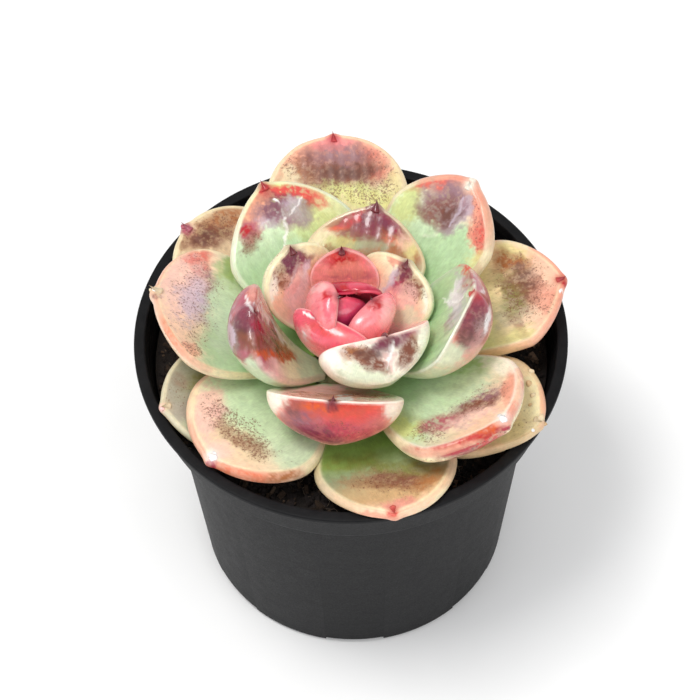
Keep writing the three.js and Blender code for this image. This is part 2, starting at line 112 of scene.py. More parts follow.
def noise(P, size, seed=0):
    """smooth noise from -1 to 1 with blobs of about the given size in mm"""
    p = np.asarray(P, float) / size
    i = np.floor(p)
    f = p - i
    u = f * f * (3 - 2 * f)
    out = 0
    for a in (0, 1):
        for b in (0, 1):
            for c in (0, 1):
                w = (u[:, 0] if a else 1 - u[:, 0]) * (u[:, 1] if b else 1 - u[:, 1]) * (u[:, 2] if c else 1 - u[:, 2])
                out = out + w * _hash(i[:, 0] + a, i[:, 1] + b, i[:, 2] + c, seed)
    return out


def fbm(P, size, seed=0, octaves=3):
    out, amp, tot = 0, 1.0, 0
    for o in range(octaves):
        out = out + amp * noise(P, size / 2 ** o, seed + 17 * o)
        tot += amp
        amp *= 0.55
    return out / tot


def new_mesh(name, V, F, material, smooth=True):
    me = bpy.data.meshes.new(name)
    me.from_pydata((np.asarray(V) * MM).tolist(), [], [list(f) for f in F])
    me.update()
    ob = bpy.data.objects.new(name, me)
    bpy.context.scene.collection.objects.link(ob)
    if smooth:
        me.polygons.foreach_set("use_smooth", [True] * len(me.polygons))
    me.materials.append(material)
    return ob


def set_attr(ob, name, kind, values):
    a = ob.data.attributes.new(name, kind, "POINT")
    if kind == "FLOAT_COLOR":
        v = np.ones((len(values), 4), np.float32)
        v[:, :3] = values
        a.data.foreach_set("color", v.ravel())
    elif kind == "FLOAT_VECTOR":
        a.data.foreach_set("vector", np.asarray(values, np.float32).ravel())
    else:
        a.data.foreach_set("value", np.asarray(values, np.float32).ravel())


class Nodes:
    """short hand for building a node tree"""
    def __init__(self, name):
        self.m = bpy.data.materials.new(name)
        self.m.use_nodes = True
        self.t = self.m.node_tree
        self.bsdf = self.t.nodes["Principled BSDF"]
        self.out = self.t.nodes["Material Output"]

    def put(self, socket, value):
        if isinstance(value, bpy.types.NodeSocket):
            self.t.links.new(value, socket)
        else:
            socket.default_value = value

    def node(self, kind, **kw):
        n = self.t.nodes.new(kind)
        for k, v in kw.items():
            setattr(n, k, v)
        return n

    def attr(self, name):
        return self.node("ShaderNodeAttribute", attribute_type="GEOMETRY", attribute_name=name)

    def coords(self, scale, base=None):
        mp = self.node("ShaderNodeMapping")
        self.put(mp.inputs["Vector"], base if base is not None else self.node("ShaderNodeTexCoord").outputs["Object"])
        mp.inputs["Scale"].default_value = scale
        return mp.outputs["Vector"]

    def noise(self, vector, scale=1.0, detail=3.0, rough=0.55, distort=0.0):
        n = self.node("ShaderNodeTexNoise")
        self.put(n.inputs["Vector"], vector)
        n.inputs["Scale"].default_value = scale
        n.inputs["Detail"].default_value = detail
        n.inputs["Roughness"].default_value = rough
        n.inputs["Distortion"].default_value = distort
        return n.outputs["Fac"]

    def math(self, op, a, b=0.0, clamp=False):
        n = self.node("ShaderNodeMath", operation=op, use_clamp=clamp)
        self.put(n.inputs[0], a)
        self.put(n.inputs[1], b)
        return n.outputs[0]

    def ramp(self, x, a, b, lo=0.0, hi=1.0, smooth=True):
        n = self.node("ShaderNodeMapRange", interpolation_type="SMOOTHSTEP" if smooth else "LINEAR")
        self.put(n.inputs["Value"], x)
        n.inputs["From Min"].default_value = a
        n.inputs["From Max"].default_value = b
        n.inputs["To Min"].default_value = lo
        n.inputs["To Max"].default_value = hi
        return n.outputs["Result"]

    def mix(self, f, a, b, blend="MIX"):
        n = self.node("ShaderNodeMix", data_type="RGBA", blend_type=blend)
        self.put(n.inputs[0], f)
        self.put(n.inputs[6], a)
        self.put(n.inputs[7], b)
        return n.outputs[2]

    def bump(self, height, distance, strength=1.0, normal=None):
        n = self.node("ShaderNodeBump")
        n.inputs["Distance"].default_value = distance
        n.inputs["Strength"].default_value = strength
        self.put(n.inputs["Height"], height)
        if normal is not None:
            self.put(n.inputs["Normal"], normal)
        return n.outputs["Normal"]


# ---------------------------------------------------------------- leaf shape
STEPS = 24
AXIS_X, AXIS_Y = -2.00, -7.11        # the rosette's axis, off the pot's
# one row a leaf: direction, place on the stem, pitch and its change, length, half width, twist, bend, thickness, dish,
# bluntness, widest place, foot, breadth and drop of the edge, keel, place, length and lift of the point
LEAF_COLUMNS = ("az", "r0", "z0", "p0", "k1", "k2", "L", "W", "roll", "yaw", "T0", "d", "n", "sm", "f0", "b", "a", "v", "mu", "tip", "lift")
LEAVES = (
    ("leaf_01_outer_front_right", 343.8, 8, -7.09, 13.9, 3.81, -13.41, 43.99, 15.26, 5.46, -26.24, 3.84, 1.94, 1.59, 0.66, 0.3, 1.23, 1.58, 1.88, 2.14, 1, 0.6),
    ("leaf_02_outer_left", 197.5, 8, -6.64, 8.13, 16.57, -7.43, 37.79, 15.87, -11.56, 1.51, 5.73, 1.45, 1.61, 0.58, 0.3, 1.01, 1.3, 1.91, 0.5, 1.2, 0.4),
    ("leaf_03_lower_back_right", 62.04, 8, -5.98, 9.8, 5.53, -2.52, 44.81, 14.12, 0.87, -2.1, 6.33, 0.8, 2, 0.62, 0.3, 1.43, 1.84, 2, -0.14, 1.2, 0.5),
    ("leaf_04_outer_front", 290.4, 8, -6.4, 13.49, 8.18, -19.21, 39.88, 16.77, 1.21, -11.48, 3.84, 1.3, 1.88, 0.57, 0.3, 1.55, 1.99, 1.95, -1.59, 1, 0.6),
    ("leaf_05_outer_back_left", 128.7, 7.5, -5.4, 10.03, 9.09, -8.41, 47, 16.7, -3.19, 13.81, 6.97, 0.81, 1.95, 0.63, 0.3, 1.2, 1.54, 2, 1.12, 1.6, 0.5),
    ("leaf_06_outer_right", 23.32, 7.5, -3.92, 19.51, -4.36, -12.56, 50.38, 15.51, 2.62, -13.55, 6.18, 0.81, 1.5, 0.74, 0.3, 1.35, 1.73, 1.98, -0.95, 1.2, 0.6),
    ("leaf_07_outer_front_left", 220.9, 7.5, -4.18, 18.93, -4.87, -24.15, 36.79, 18.1, -2.11, 1.22, 5.43, 0.8, 1.81, 0.56, 0.3, 1.72, 2.22, 1.93, 1.07, 1.1, 0.7),
    ("leaf_08_outer_back", 89.68, 7.2, -3.12, 18.23, 4.12, -7.19, 53.03, 17.8, 0.25, 3.31, 6.22, 0.8, 2.16, 0.65, 0.3, 1.31, 1.69, 1.98, 0.03, 1.3, 0.5),
    ("leaf_09_middle_front_right", 325.6, 7, -1.98, 20.27, 14.28, -15.71, 43.16, 17.57, -5.18, -5.39, 8.36, 0.8, 1.59, 0.69, 0.3, 1.58, 2.03, 2.12, -0.47, 1.1, 0.8),
    ("leaf_10_middle_left", 160.1, 7, -1.75, 21.74, 13.56, -22.38, 42.09, 19.75, 17.74, 14.86, 7.14, 0.8, 1.8, 0.7, 0.3, 1.07, 1.38, 1.99, 0.25, 1.8, 0.5),
    ("leaf_11_middle_back_right", 48.56, 6.6, -0.82, 24.59, 16.73, -4.19, 47.2, 14.98, -2.6, -0, 6.92, 0.8, 1.55, 0.71, 0.3, 1.66, 2.13, 1.97, -1.2, 1, 0.6),
    ("leaf_12_middle_front", 264.8, 6.4, -1.2, 45.34, 13.56, -17.67, 28.06, 15.81, -0.34, -0.91, 11.74, 1.5, 2.29, 0.71, 0.3, 0.38, 0.38, 1.44, 0.02, 1.6, 1),
    ("leaf_13_middle_back_left", 109.3, 6.2, 1.1, 25.45, 1.24, -8.56, 41.08, 16.88, -2.57, 13.21, 7.32, 1.02, 1.53, 0.59, 0.3, 1.24, 1.59, 1.97, 0.13, 1.4, 0.4),
    ("leaf_14_inner_right", 357.9, 6, 1.99, 34.01, 31.02, -12.12, 35.48, 15.24, -12.88, -4.02, 11.34, 1.5, 1.5, 0.74, 0.3, 0.47, 0.47, 1.81, 0.83, 0.9, 0.3),
    ("leaf_15_inner_front_left", 203.7, 5.6, 0.48, 40.65, 49.77, -18.49, 33.19, 11.17, -4.15, -22.23, 8.93, 1.5, 2.44, 0.76, 0.3, 1.29, 1.29, 1.58, -0.33, 0.9, 0.3),
    ("leaf_16_inner_back", 72.83, 5.4, 3.25, 34.98, 1.7, -8.33, 30.89, 14.53, 4.96, 1.4, 6.27, 1.08, 1.5, 0.61, 0.3, 0.78, 0.78, 1.98, 0.02, 1.8, 0.4),
    ("leaf_17_inner_front_right", 309.5, 5, 4.08, 67.17, 11.45, -37.76, 26.05, 13.62, -12.02, -11.25, 10.98, 2.57, 2.42, 0.72, 0.3, 0.3, 0.3, 1.55, 0.89, 0.9, 0.2),
    ("leaf_18_inner_back_left", 131.6, 4.6, 4.68, 46.41, 19.31, -10.23, 24.22, 10.25, 5.12, -5.74, 6.93, 0.84, 2.12, 0.62, 0.3, 0.86, 0.86, 2, -0.66, 1.4, 0.3),
    ("leaf_19_inner_back_right", 29.91, 4.4, 6.36, 40.74, 15.44, -9.27, 21.96, 11.27, 3.31, 12.45, 6.21, 0.88, 2.09, 0.65, 0.3, 0.8, 0.8, 2.01, 0.71, 1.3, 0.3),
    ("bud_leaf_20_front", 246.5, 3.8, 6.97, 75.12, 23.7, -11.93, 16.98, 9.9, -4.24, -2.56, 5.7, 2.43, 2.38, 0.77, 0.3, 0.29, 0.34, 1.89, -2.74, 1.3, 0.2),
    ("bud_leaf_21_back", 85.04, 3.4, 7.38, 51.52, 14, -1.47, 20.14, 8.18, 1.4, 1.29, 4.64, 0.9, 1.85, 0.62, 0.3, 0.42, 0.49, 2, 0.72, 1.2, 0.3),
    ("bud_leaf_22_right", 345.9, 3, 7.83, 61.57, 36.89, 1.55, 17.03, 8.01, -21.74, -11.93, 5.42, 2.14, 2.16, 0.72, 0.3, 0.4, 0.48, 2.02, 1.68, 1, 0.1),
    ("bud_leaf_23_left", 200, 2, 10.2, 70, 40, 22, 17, 7, 10, -24, 2.8, 0.5, 1.9, 0.62, 0.3, 0.29, 0.33, 1.97, 0, 0.9, 0.1),
    ("bud_leaf_24_back_right", 53, 2.4, 10.2, 60, 60, 20, 16, 7.6, 22, 14, 2.8, 0.3, 2.3, 0.68, 0.3, 0.42, 0.52, 1.99, -2.5, 0.7, 0.1),
    ("bud_leaf_25_heart_front", 285, 1.5, 10.8, 76, 44, 10, 13.6, 5.2, 4.58, 2.01, 2.6, 0.3, 2.02, 0.68, 0.3, 0.32, 0.37, 2, 1.54, 0.5, 0),
    ("bud_leaf_26_heart", 141, 1.4, 11.2, 92, 12, -0.29, 11.6, 3.6, 2.6, 2.21, 1.8, 0.2, 2.02, 0.65, 0.3, 0.26, 0.3, 2, -2.13, 0.5, 0),
)


class Leaf:
    """A bent, thick, keeled body in its own coordinates: x across, s along the midrib, n towards the upper face."""

    def __init__(self, row):
        self.name = row[0]
        for key, value in zip(LEAF_COLUMNS, row[1:]):
            setattr(self, key, value)
        mid = (np.arange(STEPS) + 0.5) / STEPS
        ph, ps = self._angles(mid)
        tan = np.stack([np.cos(ph) * np.cos(ps), np.cos(ph) * np.sin(ps), np.sin(ph)], -1)
        a0 = math.radians(self.az)
        B = np.array([AXIS_X + self.r0 * math.cos(a0), AXIS_Y + self.r0 * math.sin(a0), POT_H + self.z0])
        self.M = np.vstack([B, B + np.cumsum(tan, 0) * self.L / STEPS])
        u = np.arange(STEPS + 1) / STEPS
        ph, ps = self._angles(u)
        ro = np.radians(self.roll * u)
        self.T = np.stack([np.cos(ph) * np.cos(ps), np.cos(ph) * np.sin(ps), np.sin(ph)], -1)
        E = np.stack([-np.sin(ps), np.cos(ps), 0 * ps], -1)
        N = np.cross(self.T, E)
        self.E = np.cos(ro)[:, None] * E + np.sin(ro)[:, None] * N
        self.N = -np.sin(ro)[:, None] * E + np.cos(ro)[:, None] * N

    def _angles(self, u):
        return np.radians(self.p0 + self.k1 * u + self.k2 * u ** 4), np.radians(self.az + self.yaw * u)

    def half(self, s):
        m = self.sm * self.L
        side = self.W * (self.f0 + (1 - self.f0) * np.sin(np.pi / 2 * np.clip(s / m, 0, 1)) ** 1.25)
        cap = self.W * (1 - np.clip((s - m) / (self.L - m), 0, 1) ** self.n) ** (1 / self.n)
        return np.where(s <= m, side, cap)

    def reach(self, x, s):
        m = self.sm * self.L
        side = np.abs(x) / self.half(np.clip(s, 0, m))
        y = np.clip((s - m) / (self.L - m), 0, None)
        cap = ((np.abs(x) / self.W) ** self.n + y ** self.n) ** (1 / self.n)
        r = np.hypot(x, s - m)
        wide = np.where(s <= m, self.half(np.clip(s, 0, m)), np.where(cap > 1e-6, r / np.maximum(cap, 1e-6), self.W))
        return np.where(s <= m, side, cap), wide

    def thick(self, s):
        return self.T0 * (0.36 + 0.64 * np.sin(np.pi / 2 * np.clip(s / (0.6 * self.L), 0, 1)) ** 1.3)

    def faces(self, x, s):
        l, w = self.reach(x, s)
        t = self.thick(s)
        b, a = np.minimum(self.b, 0.35 * w), np.minimum(self.a, 0.42 * t)
        de = np.clip(1 - l, 0, 1) * w
        q = np.clip(1 - de / b, 0, 1)
        edge = -a + a * np.sqrt(np.clip(1 - q * q, 0, 1))
        mu = np.clip((de - b) / np.maximum(w - b, 1e-6), 0, 1)
        top = np.where(de < b, edge, -self.d * np.clip(s / (0.35 * self.L), 0, 1) * (1 - (1 - mu) ** 2))
        bot = -a - (t - a) * np.sqrt(np.clip(1 - np.clip(l, 0, 1) ** self.v, 0, 1))
        return top, bot

    def at(self, x, s, n):
        u = np.clip(s / self.L, 0, 1) * STEPS
        i = np.minimum(u.astype(int), STEPS - 1)
        f = (u - i)[..., None]
        mix = lambda A: A[i] * (1 - f) + A[i + 1] * f
        E, N = mix(self.E), mix(self.N)
        E = E / np.linalg.norm(E, axis=-1, keepdims=True)
        N = N / np.linalg.norm(N, axis=-1, keepdims=True)
        return mix(self.M) + x[..., None] * E + n[..., None] * N + (s - np.clip(s, 0, self.L))[..., None] * mix(self.T)

    def build(self, fine=0.34, coarse=0.8):
        """closed mesh: for each point x, s, height n and side of the leaf, then its quads (some shrunk to triangles)
        and the points round the foot
        """
        m = self.sm * self.L
        ns = max(8, int(m / (fine * 1.35)))
        nc = max(10, int(1.25 * (self.L - m + self.W) / (fine * 1.35)))
        S = m * np.arange(ns + 1) / ns
        O = [(float(self.half(np.array(v))), v) for v in S]
        spine = list(0.92 * S)
        end = m + 0.5 * (self.L - m)
        for k in range(1, nc + 1):
            al = np.pi / 2 * k / nc
            c, si = math.cos(al), math.sin(al)
            R = (abs(c) ** self.n + si ** self.n) ** (-1 / self.n)
            O.append((self.W * c * R if k < nc else 0.0, m + (self.L - m) * si * R))
            spine.append(0.92 * m + (end - 0.92 * m) * si ** 1.4)
        O, P = np.array(O), np.array(spine)
        J = len(P)
        _, w = self.reach(O[:, 0], O[:, 1])
        rim = 1 - np.minimum(self.b, 0.35 * w) / np.maximum(w, 1e-6)
        nt = max(10, int(self.W / fine))
        ne = 7
        f_in = (np.arange(nt) / nt) ** 0.85
        th = np.pi / 2 * np.arange(ne + 1) / ne
        nb = max(9, int(1.3 * self.W / coarse))
        f_bot = np.sin(np.pi / 2 * (1 - np.arange(1, nb) / nb))
        X, Sx, Nn, side, idx = [], [], [], [], {}
        count = 0

        def push(x, s, n, sd):
            nonlocal count
            X.append(x); Sx.append(s); Nn.append(n); side.append(np.full(len(x), sd))
            k = np.arange(count, count + len(x)); count += len(x)
            return k

        rows = {1: [], -1: []}
        zero = np.zeros(J)
        sp_top = push(zero, P, self.faces(zero, P)[0], 0.0)
        for g in (1, -1):
            rows[g].append(sp_top)
            last = J if g == 1 else J - 1       # the ray to the tip is shared by both halves
            for f0 in f_in[1:]:
                f = rim * f0
                x, s = g * O[:, 0] * f, P + (O[:, 1] - P) * f
                k = push(x[:last], s[:last], self.faces(x, s)[0][:last], 0.0)
                rows[g].append(k if g == 1 else np.append(k, rows[1][len(rows[-1])][J - 1]))
            for a in th:
                f = 1 - (1 - rim) * (1 - math.sin(a))
                x, s = g * O[:, 0] * f, P + (O[:, 1] - P) * f
                aa = np.minimum(self.a, 0.42 * self.thick(s))
                k = push(x[:last], s[:last], (-aa + aa * math.cos(a))[:last], 0.5 * a / (np.pi / 2))
                rows[g].append(k if g == 1 else np.append(k, rows[1][len(rows[-1])][J - 1]))
            for f0 in f_bot:
                x, s = g * O[:, 0] * f0, P + (O[:, 1] - P) * f0
                k = push(x[:last], s[:last], self.faces(x, s)[1][:last], 1.0)
                rows[g].append(k if g == 1 else np.append(k, rows[1][len(rows[-1])][J - 1]))
            if g == 1:
                sp_bot = push(zero, P, self.faces(zero, P)[1], 1.0)
            rows[g].append(sp_bot)
        x, s, n, sd = np.concatenate(X), np.concatenate(Sx), np.concatenate(Nn), np.concatenate(side)
        F = []
        for g in (1, -1):
            R = rows[g]
            for a, b in zip(R[:-1], R[1:]):
                q = np.stack([a[:-1], b[:-1], b[1:], a[1:]], 1)
                if g == 1:
                    q = q[:, ::-1]
                F.append(q)
        F = np.vstack(F)
        foot = [r[0] for r in rows[1]] + [r[0] for r in rows[-1]][::-1][1:-1]
        return x, s, n, sd, F, foot


def grid_faces(F):
    """drops the repeated corner of quads that have shrunk to triangles"""
    out = []
    for f in F.tolist():
        g = [f[i] for i in range(4) if f[i] != f[i - 1]]
        if len(g) >= 3:
            out.append(g)
    return out

# ---------------------------------------------------------------- leaf colours
C = {k: lin(v) for k, v in dict(
    mint=(176, 204, 158), mintpale=(206, 222, 188), green=(140, 172, 92), ygreen=(206, 212, 138), yellow=(226, 218, 150), cream=(240, 230, 192),
    creamw=(250, 243, 226), white=(253, 250, 247), peach=(238, 200, 172), tan=(208, 174, 132), beige=(222, 200, 165), salmon=(226, 146, 126),
    coral=(206, 78, 70), orange=(204, 90, 50), ochre=(160, 98, 54), red=(178, 30, 38), darkred=(112, 22, 36), brown=(122, 66, 46), dbrown=(74, 40, 30),
    purpleg=(146, 112, 120), lilac=(208, 192, 206), plum=(108, 38, 60), dplum=(72, 28, 46), olive=(128, 128, 66), dolive=(72, 82, 44), mauve=(170, 84, 100),
    pink=(236, 138, 142), hotpink=(222, 88, 108), crimson=(168, 28, 58), magenta=(158, 42, 88), blush=(242, 196, 190), sage=(150, 160, 128), grey=(176, 170, 158)).items()}


DARK = ("red", "darkred", "brown", "dbrown", "plum", "dplum", "ochre", "crimson", "olive", "dolive", "purpleg", "coral", "orange", "mauve")


def band(x, stops):
    """colour at x along a list of (position, colour name)"""
    out = np.zeros((len(x), 3))
    xs = [p for p, _ in stops]
    cs = np.array([C[c] for _, c in stops])
    for i in range(3):
        out[:, i] = np.interp(x, xs, cs[:, i])
    return out


def ellipse(q, cx, cy, rx, ry, ang):
    a = math.radians(ang)
    d = q - np.array([cx, cy])
    u = (d[:, 0] * math.cos(a) - d[:, 1] * math.sin(a)) / rx
    v = (d[:, 0] * math.sin(a) + d[:, 1] * math.cos(a)) / ry
    return np.hypot(u, v)


def line_dist(q, pts):
    d = np.full(len(q), 1e9)
    along = np.zeros(len(q))
    n = len(pts) - 1
    for i in range(n):
        a, b = np.array(pts[i], float), np.array(pts[i + 1], float)
        ab = b - a
        t = np.clip(((q - a) @ ab) / max(ab @ ab, 1e-9), 0, 1)
        e = np.linalg.norm(q - (a + t[:, None] * ab), axis=1)
        near = e < d
        d = np.where(near, e, d)
        along = np.where(near, (i + t) / n, along)
    return d, along


def paint(leaf, spec, P, x, s, side, de, q):
    """colour, speckle and gloss of each point of a leaf"""
    u = x / leaf.W
    v = s / leaf.L
    warp = np.stack([fbm(P, 4.5, 101, 2), fbm(P, 4.5, 102, 2)], -1)
    fine = np.stack([fbm(P, 1.3, 103, 2), fbm(P, 1.3, 104, 2)], -1)
    fib = np.stack([u * leaf.W * 1.35, s * 0.42, side * 5.0 + leaf.az], -1)
    q = q + warp * 5.5 + fine * 3.2
    n1 = fbm(P, 3.2, 11)
    n2 = fbm(P, 1.2, 23)
    n3 = 0.8 * fbm(P, 0.6, 31, 2) + 0.4 * fbm(fib, 0.8, 37, 3) * step(v, 0.99, 0.8)
    top = step(side, 0.75, 0.35)                 # 1 on the upper face and the lip, 0 underneath
    col = band(np.clip(v + 0.05 * n1, 0, 1), spec["top"])
    under = band(np.clip(v + 0.06 * n1, 0, 1), spec["bot"])
    lip = step(de, leaf.b * 1.15, leaf.b * 0.75) * top
    if "edge" in spec:
        c, k, width = spec["edge"]
        m = 0.62 * k * step(de + 1.0 * n1 + 0.5 * n3, width, -0.4)
        col = col + (C[c] - col) * m[:, None]
    spk = np.zeros(len(x))
    wet = np.zeros(len(x))
    c, k = spec.get("lip", ("peach", 0.6))
    m = 0.6 * k * lip
    col = col + (C[c] - col) * m[:, None]
    col = under + (col - under) * top[:, None]
    rim = 0.6 * np.exp(-((de - leaf.b) / 0.42) ** 2) * (side < 0.3) * step(v, 0.2, 0.45)
    where = {"t": top * (1 - 0.85 * lip), "b": 1 - top, "l": np.maximum(lip, (side > 0.3) * (side < 0.9)), "a": np.ones(len(x)), "r": rim}
    for st in spec.get("strokes", ()):
        kind = st[0]
        on = where[kind[1]] if len(kind) > 1 else where["a"]
        if kind[0] == "e":                       # soft patch with a mottled edge
            _, c, cx, cy, rx, ry, ang, k, soft = st
            grit = 0.30 * n1 + 0.34 * n2 + 0.30 * n3
            d = ellipse(q, cx, cy, rx, ry, ang) + grit * min(1, 0.4 + soft)
            m = k * step(d, 1 + soft * 0.42, 1 - soft * 0.55) * on
            if c in DARK:                        # dark marks are made of small blots with lighter gaps
                m = m * (0.45 + 0.75 * step(n2 + 0.8 * n3, -0.42, 0.30))
        elif kind[0] == "l":                     # line
            _, c, pts, width, k, soft = st
            d, al = line_dist(q, pts)
            w = width * (0.55 + 0.45 * np.sin(np.pi * np.clip(al * 0.9 + 0.08, 0, 1))) * (1 + 0.5 * n2)
            m = k * step(d, w * (1 + soft), w * (1 - 0.7 * soft) * 0.5) * on
            m = m * (0.72 + 0.4 * n2)
        if c == "speck":
            spk = np.maximum(spk, m)
        elif c == "gloss":
            wet = np.maximum(wet, m)
        else:
            col = col + (C[c] - col) * np.clip(m, 0, 1)[:, None]
    if "rim" in spec:
        c, k = spec["rim"]
        m = k * rim
        col = col + (C[c] - col) * m[:, None]
    # the leaf's own unevenness
    col = col * (1 + 0.08 * n1 + 0.10 * n2 + 0.12 * n3)[:, None]
    grey = col.mean(1, keepdims=True)
    col = grey + (col - grey) * 1.10
    return np.clip(col, 0.003, 0.97), np.clip(spk, 0, 1), np.clip(wet, 0, 1)


# ---------------------------------------------------------------- materials
def leaf_skin(name, rough, coat, sss, speck=(0.17, 0.046, 0.024), grain=1.0):
    k = Nodes(name)
    base = k.attr("paint").outputs["Color"]
    fib = k.attr("fibre").outputs["Vector"]
    spk = k.attr("speck").outputs["Fac"]
    wet = k.attr("wet").outputs["Fac"]
    obj = k.coords((1000, 1000, 1000))
    # fine fibres that run along the leaf
    streak = k.noise(k.coords((3.4, 0.55, 1), fib), 1.0, 4.0, 0.62)
    cell = k.noise(obj, 4.2, 3.0, 0.6)
    blot = k.noise(obj, 0.85, 3.0, 0.6, 0.4)
    tone = k.math("ADD", k.ramp(streak, 0.32, 0.70, 0.90, 1.07, False), k.ramp(cell, 0.3, 0.7, -0.035 * grain, 0.035 * grain, False))
    tone = k.math("ADD", tone, k.ramp(blot, 0.3, 0.7, -0.035, 0.035, False))
    shade = k.node("ShaderNodeCombineColor")
    for i in range(3):
        k.put(shade.inputs[i], tone)
    col = k.mix(1.0, base, shade.outputs[0], "MULTIPLY")
    # brown freckles: small blots, thick where the leaf is marked
    dash = k.noise(obj, 1.9, 4.0, 0.62, 0.4)
    level = k.math("ADD", dash, k.math("MULTIPLY", spk, 0.155))
    mask = k.math("MULTIPLY", k.ramp(level, 0.62, 0.72), k.ramp(spk, 0.02, 0.35), True)
    col = k.mix(k.math("MULTIPLY", mask, 0.70), col, (*speck, 1))
    dot = k.noise(obj, 1.7, 2.0, 0.5)
    level2 = k.math("ADD", dot, k.math("MULTIPLY", spk, 0.08))
    mask2 = k.math("MULTIPLY", k.ramp(level2, 0.79, 0.82), k.ramp(spk, 0.05, 0.5), True)
    col = k.mix(k.math("MULTIPLY", mask2, 0.8), col, (speck[0] * 0.55, speck[1] * 0.5, speck[2] * 0.5, 1))
    k.put(k.bsdf.inputs["Base Color"], col)
    r = k.math("ADD", k.ramp(cell, 0.3, 0.7, rough - 0.05, rough + 0.06, False), k.math("MULTIPLY", wet, -0.22))
    k.put(k.bsdf.inputs["Roughness"], k.math("MAXIMUM", r, 0.12))
    k.bsdf.inputs["Specular IOR Level"].default_value = 0.5
    k.bsdf.inputs["Coat Weight"].default_value = coat
    k.bsdf.inputs["Coat Roughness"].default_value = 0.10
    k.bsdf.inputs["Subsurface Weight"].default_value = sss
    k.bsdf.inputs["Subsurface Radius"].default_value = (1.0, 0.55, 0.30)
    k.bsdf.inputs["Subsurface Scale"].default_value = 0.0016
    n = k.bump(streak, 0.00006, 0.6)
    n = k.bump(cell, 0.00004, 0.5, n)
    k.put(k.bsdf.inputs["Normal"], n)
    return k.m
